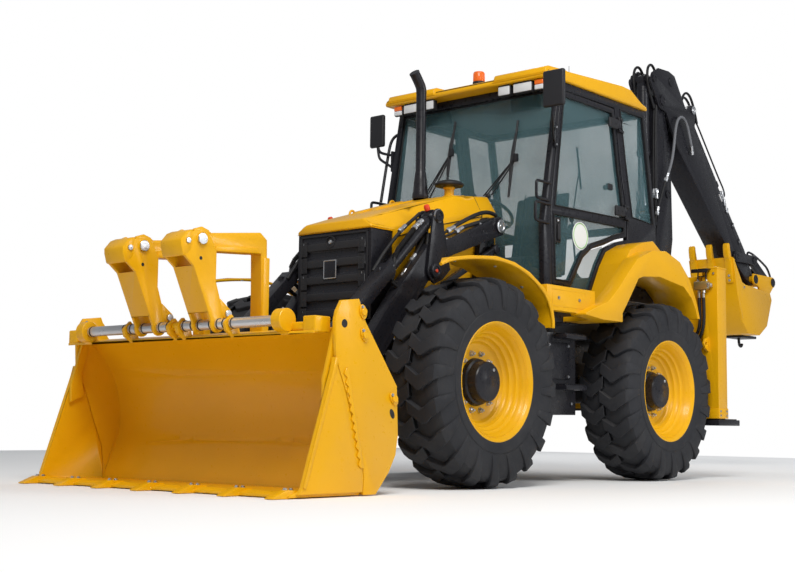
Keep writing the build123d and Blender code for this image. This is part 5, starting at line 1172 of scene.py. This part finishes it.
for side, label in both_sides:
    face = side * bucket_side_y
    for shift, thick, finish, name, slot in ((-0.005, 0.0035, satin_black, "joint_gap_", "satin_black"),
                                             (0.0, 0.008, machine_yellow, "joint_teeth_", "yellow_paint")):
        outline = [(x + shift, z) for x, z in toothed((3.668, 0.700), (3.528, 0.150), 11, 0.02, 0.02)]
        done(cut_plate(outline, face, face + side * thick, 0.001), name + label, finish,
             "bucket_clam")
    edge = cut_plate([(3.752, 0.758), (3.770, 0.69), (3.984, 0.056), (3.962, 0.05), (3.745, 0.69),
                      (3.728, 0.752)], face, face + side * 0.009, 0.002)
    done(edge, "wear_strip_" + label, machine_yellow, "bucket_clam")
    keepers, heads = [], []
    for (x, z), lean in (((3.532, 1.022), 70), ((3.518, 0.892), 60), ((3.259, 0.542), 50)):
        keepers.append(oval((x, z), 0.042, 0.027, lean, face, face + side * 0.009))
        keepers.append(aim(turned([(0.0, 0.021), (0.012, 0.021), (0.014, 0.019), (0.014, 0.004)], 24),
                           (x, face + side * 0.006, z), (0, side, 0)))
        heads.append(((x + 0.026 * cos(radians(lean)), face + side * 0.009, z + 0.026 * sin(radians(lean))),
                      (0, side, 0)))
    done(keepers, "pin_keepers_" + label, machine_yellow, "bucket_shell")
    bolts("keeper_bolts_" + label, heads, 0.01, "bucket_shell")
    # the lightening holes are dark discs on the plate: painted shade standing for the shadowed inside of each
    # hole
    hole_shade_discs = [oval((3.269, 0.456), 0.03, 0.018, 60, face, face + side * 0.0014),
             aim(turned([(0.0, 0.024), (0.0012, 0.023), (0.0014, 0.004)], 28), (3.678, face, 0.947),
                 (0, side, 0))]
    done(hole_shade_discs, "lightening_hole_shade_" + label, hose_rubber, "bucket_shell")
    stay = [block((3.785, side * 0.925, 0.905), (3.835, side * 1.12, 0.955), 0.012, 4),
            block((3.72, side * 1.03, 0.895), (3.845, side * 1.125, 0.985), 0.008, 3),
            aim(turned([(0.0, 0.062), (0.004, 0.066), (0.07, 0.066), (0.074, 0.062)], 36),
                (3.865, side * 0.861, 0.965), (0, side, 0))]
    done(stay, "bar_stays_" + label, machine_yellow, "bucket_shell")
    bolts("stay_bolts_" + label, [((3.915, side * 0.90, 0.94), (1, 0, -0.3)),
                                  ((3.87, side * 0.90, 1.03), (0, 0, 1))], 0.008, "bucket_shell")

# ------------------------------------------------------------------ flip-over forks
# Two cranked tines folded back over the bucket, each on a welded bracket that swings on a
# plated bar. A pin with a polished end locks each tine at its knee.
fork_centres = (-0.265, 0.265)
bar_x, bar_z = 3.865, 0.965
plated = enamel("worn plated bar", (0.62, 0.62, 0.63), 0.3, dust=0.35, drift=0.15, metal=0.8,
                grain=40, pebble=0.08)
eased("fork_brackets", machine_yellow, 0.004)
eased("fork_tines", machine_yellow, 0.006)
sleeves, rings = [], []
for low, high in ((0.058, 0.170), (0.195, 0.335), (0.360, 0.450), (0.480, 0.858)):
    for side in (-1, 1):
        sleeve = turned([(0.0, 0.0272), (0.001, 0.0312), (high - low - 0.001, 0.0312), (high - low, 0.0272)],
                        36)
        sleeves.append(aim(sleeve, (bar_x, side * low, bar_z), (0, side, 0)))
        for y in (low + 0.012, high - 0.028):
            ring = turned([(0.0, 0.0312), (0.001, 0.0338), (0.007, 0.0338), (0.008, 0.0312)], 32)
            rings.append(aim(ring, (bar_x, side * y, bar_z), (0, side, 0)))
done(sleeves, "fork_bar_sleeves", plated, "fork_brackets")
done(rings, "fork_bar_rings", satin_black, "fork_brackets")
noses, lugs, polished, hole_shade_discs = [], [], [], []
for centre in fork_centres:
    nose = [(4.074, 1.500), (4.118, 1.480), (4.160, 1.432), (4.158, 1.40), (4.142, 1.345), (4.128, 1.338),
            (4.088, 1.372), (4.074, 1.41)]
    noses.append(cut_plate(nose, centre - 0.094, centre + 0.094, 0.01))
    noses.append(cut_plate([(4.005, 1.522), (3.95, 1.506), (3.95, 1.502), (3.93, 1.49), (4.07, 1.494),
                            (4.055, 1.506)], centre + 0.0725, centre + 0.0925, 0.002))
    for side in (-1, 1):
        wall = centre + side * 0.0925
        for (x, z), radius in (((4.008, 1.45), 0.034), ((4.108, 1.43), 0.017)):
            way = 0.0085 if radius > 0.03 else 0.0
            polished.append(aim(turned([(0.0, radius), (0.008, radius), (0.0105, radius * 0.9),
                                        (0.011, radius * 0.3)], 32), (x, wall + side * way, z), (0, side, 0)))
        # each pin hole is a dark disc on the bracket wall: painted shade standing for the hole's shadowed
        # bore
        hole_shade_discs.append(aim(turned([(0.0, 0.011), (0.001, 0.0105), (0.0012, 0.002)], 24), (4.008, wall, 1.338),
                         (0, side, 0)))
        lugs.append(cut_plate([(3.85, 1.115), (3.81, 1.085), (3.768, 1.055), (3.758, 1.03), (3.768, 1.004),
                               (3.80, 0.998), (3.85, 1.02)], wall - side * 0.02, wall, 0.004))
        polished.append(aim(turned([(0.0, 0.023), (0.010, 0.023), (0.0125, 0.02), (0.013, 0.006)], 32),
                            (3.79, wall, 1.03), (0, side, 0)))
done(noses, "fork_nose_blocks", machine_yellow, "fork_brackets")
done(lugs, "fork_stow_lugs", machine_yellow, "fork_brackets")
done(polished, "fork_pin_ends", zinc, "fork_brackets")
done(hole_shade_discs, "fork_pin_hole_shade", hose_rubber, "fork_brackets")
ledges = []
for centre in fork_centres:
    ledges.append(cut_plate([(3.86, 1.430), (3.52, 1.452), (3.52, 1.418), (3.87, 1.396)], centre - 0.0555,
                            centre + 0.0555, 0.004))
    ledges.append(block((3.424, centre - 0.056, 0.90), (3.478, centre + 0.056, 1.40), 0.006, 3))
done(ledges, "fork_tine_ledges", machine_yellow, "fork_tines")

# ------------------------------------------------------------------ rear frame and stabilisers
# A plate frame that carries the backhoe, with hollow columns at its ends. Each column holds
# a sliding leg with a pad, its lock valve, two hoses and a guard bracket above them.
brass = enamel("passivated brass block", (0.40, 0.30, 0.12), 0.38, dust=0.1, metal=0.75,
               grain=70, pebble=0.06)
eased("rear_frame", machine_yellow, 0.004)
eased("stabiliser_left", satin_black, 0.004)
eased("stabiliser_right", satin_black, 0.004)
for side, label in both_sides:
    done(block((-0.7155, side * 1.005, 1.515), (-0.668, side * 1.125, 1.582), 0.004), "lock_valve_" + label,
         brass)
    nuts = [aim(joined([turned([(0.0, 0.024), (0.012, 0.024), (0.014, 0.019), (0.03, 0.018), (0.033, 0.012)],
                               6), turned([(0.0, 0.028), (0.004, 0.028)], 24)]), (-0.69, side * 1.124, 1.548),
                (0, side, 0))]
    for y in (1.032, 1.104):
        nuts.append(aim(turned([(0.0, 0.011), (0.012, 0.011), (0.016, 0.006), (0.02, 0.006)], 6),
                        (-0.692, side * y, 1.58), (0, 0, 1)))
    for y in (1.042, 1.080):
        nuts.append(crimp((-0.692, side * y, 1.445), (-0.692, side * y, 1.518), 0.0125))
    done(nuts, "lock_valve_fittings_" + label, zinc)
    hoses = [pipe([(-0.692, 1.042, 1.45), (-0.692, 1.045, 1.36), (-0.688, 1.052, 1.25), (-0.69, 1.03, 1.17),
                   (-0.72, 0.98, 1.13), (-0.80, 0.95, 1.12)], 0.013, 10, side=side),
             pipe([(-0.692, 1.080, 1.45), (-0.69, 1.085, 1.36), (-0.684, 1.088, 1.24), (-0.688, 1.06, 1.14),
                   (-0.72, 0.99, 1.085), (-0.80, 0.95, 1.08)], 0.013, 10, side=side),
             pipe([(-0.692, 1.032, 1.595), (-0.692, 1.032, 1.66), (-0.70, 1.034, 1.676)], 0.0055, 8,
                  side=side),
             pipe([(-0.692, 1.104, 1.595), (-0.692, 1.104, 1.65), (-0.70, 1.102, 1.676)], 0.0055, 8,
                  side=side),
             pipe([(-0.700, 1.03, 1.625), (-0.700, 1.106, 1.625)], 0.004, 6, side=side)]
    done(hoses, "leg_hoses_" + label, hose_rubber)
    guard = [block((x, side * 0.99, z), (-0.655, side * 1.135, 1.683), 0.002)
             for x, z in ((-0.772, 1.676), (-0.664, 1.652))]
    done(guard, "valve_guard_" + label, satin_black)
    cap = [block((-1.012, side * 1.10, 0.650), (-0.866, side * 1.116, 0.862), 0.004),
           block((-0.872, side * 1.052, 1.684), (-0.712, side * 1.194, 1.697), 0.004),
           block((-0.874, side * 1.052, 0.476), (-0.71, side * 1.194, 0.558), 0.004)]
    done(cap, "column_caps_" + label, machine_yellow)
    bolts("column_bolts_" + label, [((x, side * 1.1945, z), (0, side, 0)) for x in (-0.845, -0.74)
                                    for z in (0.50, 0.535)] + [((-0.7095, side * 1.16, 1.645), (1, 0, 0))],
          0.009)
    low_y, high_y = sorted((side * 1.032, side * 1.188))
    pad = [block((-1.078, low_y, 0.421), (-0.722, high_y, 0.436), 0.004)]
    for x in (-1.05, -0.99, -0.93):
        pad.append(block((x, low_y + 0.01, 0.44), (x + 0.012, high_y - 0.01, 0.474), 0.003))
    done(pad, "pad_ribs_" + label, satin_black, "stabiliser_" + label)

# ------------------------------------------------------------------ carriage and kingpost
# A cast carriage clamps the backhoe to the frame and slides across it; between its ears the
# kingpost swings the boom. Hydraulic clamps and hoses sit on its face.
cast_paint = enamel("painted casting, black", (0.018, 0.018, 0.022), 0.44, dust=0.3, grain=40,
                    pebble=0.3)
eased("carriage", cast_paint, 0.006)
eased("kingpost", cast_paint, 0.006)
clamps = []
for y in (-0.27, 0.27):
    for z in (0.62, 1.56):
        clamps.append(aim(turned([(0.0, 0.05), (0.03, 0.05), (0.034, 0.046), (0.034, 0.03), (0.05, 0.028),
                                  (0.052, 0.02)], 36), (-0.942, y, z), (-1, 0, 0)))
    clamps.append(block((-0.965, y - 0.035, 0.74), (-0.94, y + 0.035, 1.44), 0.008))
done(clamps, "carriage_clamps", cast_paint, "carriage")
bolts("carriage_bolts", [((-0.942, y, z), (-1, 0, 0)) for y in (-0.20, 0.20) for z in (0.60, 0.9, 1.2, 1.5)],
      0.016, "carriage")
pin_ends("boom_foot_caps", [((-1.33, side * 0.136, 0.76), side) for side in (-1, 1)], 0.05, satin_black,
         "kingpost")
swing_caps = [aim(turned([(0.0, 0.07), (0.012, 0.07), (0.016, 0.064), (0.016, 0.03), (0.03, 0.026),
                          (0.031, 0.01)], 36), (-1.09, 0, z), (0, 0, way))
              for z, way in ((1.4605, 1), (0.5995, -1))]
done(swing_caps, "swing_pin_caps", satin_black, "carriage")
swing_hoses = []
for y in (-0.085, -0.05, 0.05, 0.085):
    swing_hoses.append(pipe([(-0.945, y * 1.6, 1.30), (-1.02, y * 1.9, 1.27), (-1.13, y * 1.75, 1.36),
                             (-1.22, y, 1.48), (-1.30, y * 0.8, 1.46), (-1.42, y * 0.75, 1.36),
                             (-1.49, y * 0.7, 1.42)], 0.0125, 10))
done(swing_hoses, "swing_hoses", hose_rubber, "kingpost")

# ------------------------------------------------------------------ boom
# A tapering welded box with machined bosses. Steel pipes and hoses climb its front between
# clamps; the boom and dipper cylinders have chromed rods.
for node in ("boom", "boom_lugs", "dipper", "hoe_levers", "hoe_link"):
    eased(node, satin_black, 0.004)
dress(satin_black, "boom_ram_barrel", "dipper_ram_barrel", "hoe_ram_barrel")
dress(chrome, "boom_ram_rod", "dipper_ram_rod", "hoe_ram_rod")
hoe_ram_top, hoe_ram_low = (-2.36, 0, 3.46), (-3.60, 0, 2.12)
for name, top, low, radius, length, body, rod_body, rod_radius, rod_from, rod_to in (("boom_cylinder",
                                                                                      (-1.90, 0, 2.575),
                                                                                      (-1.24, 0, 1.15), 0.056,
                                                                                      1.0, "boom",
                                                                                      "boom_ram_rod", 0.032,
                                                                                      0.6, 1.5),
                                                                                     ("dipper_cylinder",
                                                                                      (-1.62, 0, 3.62),
                                                                                      (-1.62, 0, 2.40), 0.058,
                                                                                      0.72,
                                                                                      "dipper_ram_barrel",
                                                                                      "dipper_ram_rod", 0.03,
                                                                                      0.48, 1.17),
                                                                                     ("hoe_cylinder",
                                                                                      hoe_ram_top,
                                                                                      hoe_ram_low, 0.062, 0.9,
                                                                                      "dipper", "hoe_ram_rod",
                                                                                      0.032, 0.66, 1.76)):
    cylinder_dress(name, Vector(top), Vector(low), 1, 0.0, radius, length, body, rod_body, rod_radius,
                   rod_from, rod_to)
pin_ends("boom_head_caps", [((-1.765, side * 0.129, 3.44), side) for side in (-1, 1)], 0.05, satin_black,
         "dipper")
pin_ends("dipper_cylinder_caps", [((-1.62, side * 0.126, 3.62), side) for side in (-1, 1)], 0.036,
         satin_black, "dipper")
pin_ends("hoe_cylinder_caps", [((-2.36, side * 0.126, 3.46), side) for side in (-1, 1)], 0.04, zinc, "dipper")
pin_ends("boom_cylinder_caps", [((-1.90, side * 0.097, 2.575), side) for side in (-1, 1)], 0.04, satin_black,
         "boom")
head_ends = []
for side in (-1, 1):
    for (x, z), radius in (((-1.94, 3.655), 0.044), ((-1.765, 3.44), 0.062)):
        head_ends.append(aim(turned([(0.0, radius), (0.005, radius), (0.009, radius * 0.93),
                                     (0.0095, radius * 0.4)], 32), (x, side * 0.1175, z), (0, side, 0)))
done(head_ends, "dipper_head_bosses", satin_black, "dipper")
climb, ends = [], []
for index, y in enumerate((-0.074, -0.045, -0.016, 0.016, 0.045, 0.074)):
    climb.append(pipe([(-1.49, y, 1.43), (-1.60, y, 1.85), (-1.672, y, 2.15), (-1.698, y, 2.28)], 0.0075, 8))
    if abs(y) > 0.05 or index in (1, 4):
        upper = 0.066 + 0.02 * (abs(y) > 0.05)
        way = 1 if y > 0 else -1
        climb.append(pipe([(-1.698, y, 2.28), (-1.700, y * 1.03, 2.40), (-1.692, way * upper, 2.55),
                           (-1.688, way * upper, 2.75), (-1.688, way * upper, 3.0),
                           (-1.70, way * upper, 3.15), (-1.702, way * upper, 3.34),
                           (-1.73, way * upper, 3.47)], 0.012, 10))
        ends.append(crimp((-1.690, way * upper, 2.60), (-1.690, way * upper, 2.51), 0.0155))
done(climb, "boom_pipes", hose_rubber, "boom")
for side in (-1, 1):
    ends.append(crimp((-1.682, 0.1, 2.50), (-1.682, 0.1, 2.59), 0.0155, side=side))
done(ends, "boom_hose_ends", zinc, "boom")
straps = []
clamp_places = ((-1.578, 1.70), (-1.645, 2.0), (-1.70, 2.27))
for x, z in clamp_places:
    straps.append(block((x - 0.004, -0.088, z - 0.016), (x + 0.020, 0.088, z + 0.016), 0.004))
done(straps, "boom_pipe_clamps", satin_black, "boom")
bolts("boom_clamp_bolts", [((x + 0.02, y, z), (1, 0, 0)) for x, z in clamp_places for y in (-0.06, 0, 0.06)],
      0.008, "boom")
grey_hose = enamel("grey sleeved hose", (0.16, 0.165, 0.18), 0.5, dust=0.1, grain=420,
                   pebble=0.25)
loops, sleeved, loop_ends = [], [], []
for side in (-1, 1):
    sleeved.append(pipe([(-1.805, 0.15, 2.745), (-1.864, 0.152, 2.84), (-1.914, 0.154, 2.992),
                         (-1.935, 0.156, 3.16), (-1.98, 0.156, 3.30), (-2.084, 0.156, 3.355),
                         (-2.19, 0.154, 3.28), (-2.24, 0.15, 3.143), (-2.268, 0.15, 3.08)], 0.013, 12,
                        side=side))
    loop_ends.append(crimp((-1.81, 0.15, 2.755), (-1.775, 0.138, 2.675), 0.0165, side=side))
    loop_ends.append(crimp((-2.264, 0.15, 3.09), (-2.295, 0.140, 3.01), 0.0165, side=side))
    loops.append(pipe([(-1.78, 0.139, 2.685), (-1.765, 0.128, 2.62), (-1.72, 0.118, 2.50),
                       (-1.69, 0.112, 2.42)], 0.011, 10, side=side))
    loop_ends.append(crimp((-1.69, 0.112, 2.425), (-1.672, 0.104, 2.35), 0.0165, side=side))
    loops.append(pipe([(-1.673, 0.104, 2.36), (-1.665, 0.09, 2.31), (-1.675, 0.06, 2.285),
                       (-1.70, 0.05, 2.28)], 0.011, 10, side=side))
    loops.append(pipe([(-1.69, 0.075, 3.36), (-1.60, 0.075, 3.50), (-1.562, 0.072, 3.66),
                       (-1.60, 0.07, 3.765), (-1.69, 0.068, 3.78), (-1.74, 0.066, 3.70)], 0.0125, 12,
                      side=side))
done(loops, "boom_hose_loops", hose_rubber, "boom")
done(sleeved, "boom_sleeved_hoses", grey_hose, "boom")
done(loop_ends, "boom_loop_ends", zinc, "boom")

# ------------------------------------------------------------------ dipper and rear bucket
# A box dipper with a plated head, its bucket cylinder on top, looped hoses, steel pipes in
# clamps down each side, and a linkage to a trenching bucket with three bolted teeth.
ram_top, ram_low = Vector(hoe_ram_top), Vector(hoe_ram_low)
down = (ram_low - ram_top).normalized()
lift = Vector((down.z, 0, -down.x))


def on_ram(far, off, y):
    """A place beside the bucket cylinder: distance along it, rise off it, and across."""
    return ram_top + down * far + lift * off + Vector((0, y, 0))


hoses, pipes, ends, clips = [], [], [], []
for side in (-1, 1):
    for reach, out in ((0.18, 0.075), (0.14, 0.045)):
        hoses.append(pipe([(-2.12, side * 0.10, 3.36), (-2.17, side * 0.10, 3.36 + reach),
                           (-2.28, side * out, 3.47 + reach), (-2.42, side * out, 3.44 + reach),
                           (-2.50, side * out, 3.42), (-2.52, side * out, 3.36)], 0.012, 12))
    pipes.append(pipe([on_ram(0.16, 0.075, side * 0.05), on_ram(0.19, 0.095, side * 0.05),
                       on_ram(0.30, 0.095, side * 0.05), on_ram(0.78, 0.095, side * 0.05),
                       on_ram(0.93, 0.10, side * 0.05), on_ram(0.965, 0.085, side * 0.062),
                       on_ram(1.01, 0.02, side * 0.09), on_ram(1.0, -0.02, side * 0.10)], 0.008, 10))
    for y, off in ((0.108, -0.085), (0.112, -0.120)):
        pipes.append(pipe([on_ram(0.93, off, side * y), on_ram(1.10, off - 0.008, side * y),
                           on_ram(1.40, off - 0.02, side * y), on_ram(1.62, off - 0.02, side * y)], 0.0085,
                          10, straight=True))
        ends.append(crimp(on_ram(0.99, off, side * y), on_ram(0.90, off, side * y), 0.0155))
    for far in (0.92, 1.0, 1.08):
        ends.append(crimp(on_ram(far, -0.045 - (far - 0.92) * 0.3, side * 0.115),
                          on_ram(far + 0.055, -0.095 - (far - 0.92) * 0.2, side * 0.122), 0.013))
    for far in (1.12, 1.30, 1.50):
        clips.append(on_ram(far, -0.105 - 0.02 * (far - 1.0), side * 0.118))
done(hoses, "hoe_cylinder_hoses", hose_rubber, "dipper")
done(pipes, "dipper_pipes", satin_black, "dipper")
done(ends, "dipper_pipe_fittings", zinc, "dipper")
clamp_blocks, clamp_heads = [], []
for spot in clips:
    way = 1 if spot.y > 0 else -1
    clamp_blocks.append(block(spot - Vector((0.022, 0.006, 0.03)), spot + Vector((0.022, 0.006, 0.03)),
                              0.004))
    clamp_heads.append((spot + Vector((0, way * 0.006, 0)), (0, way, 0)))
done(clamp_blocks, "dipper_pipe_clamps", satin_black, "dipper")
bolts("dipper_clamp_bolts", clamp_heads, 0.011, "dipper")
pin_ends("dipper_tip_caps", [((-3.55, side * 0.172, 1.92), side) for side in (-1, 1)], 0.045, satin_black,
         "hoe_bucket")
pin_ends("bucket_link_caps", [((-3.95, side * 0.172, 1.92), side) for side in (-1, 1)], 0.045, satin_black,
         "hoe_bucket")
pin_ends("lever_caps", [((x, side * 0.144, 2.12), side) for x in (-3.20, -3.60) for side in (-1, 1)], 0.042,
         satin_black, "hoe_levers")
eased("hoe_bucket", machine_yellow, 0.004)
lips, heads = [], []
for y in (-0.187, 0.0, 0.187):
    lips.append(cut_plate([(-2.925, 2.085), (-2.902, 2.07), (-2.918, 1.96), (-2.945, 1.83), (-2.962, 1.832),
                           (-2.944, 1.97)], y - 0.034, y + 0.034, 0.004))
    for x, z in ((-2.934, 1.90), (-2.945, 1.855)):
        heads.append(((x, y, z), (1, 0, 0.22)))
    lips.append(cut_plate([(-2.888, 2.06), (-2.868, 2.10), (-2.858, 2.175), (-2.868, 2.212), (-2.888, 2.218),
                           (-2.905, 2.20), (-2.925, 2.08)], y - 0.029, y + 0.029, 0.008))
done(lips, "hoe_tooth_adapters", machine_yellow, "hoe_bucket")
bolts("hoe_tooth_bolts", heads, 0.013, "hoe_bucket")
strips = []
for side in (-1, 1):
    strips.append(cut_plate([(-2.95, 2.06), (-2.915, 2.075), (-2.996, 1.712), (-3.088, 1.483), (-3.12, 1.49),
                             (-3.03, 1.715)], side * 0.233, side * 0.242, 0.003))
done(strips, "hoe_side_cutters", machine_yellow, "hoe_bucket")
bolts("hoe_side_bolts", [((-3.155, side * 0.2355, 1.80), (0, side, 0)) for side in (-1, 1)], 0.012,
      "hoe_bucket")
hook = [block((-3.70, -0.10, 1.318), (-3.36, 0.10, 1.345), 0.006),
        pipe([(-3.50, 0, 1.33), (-3.50, 0, 1.27), (-3.52, 0, 1.235), (-3.56, 0, 1.235), (-3.57, 0, 1.265)],
             0.014, 10)]
done(hook, "lifting_hook", satin_black, "hoe_bucket")
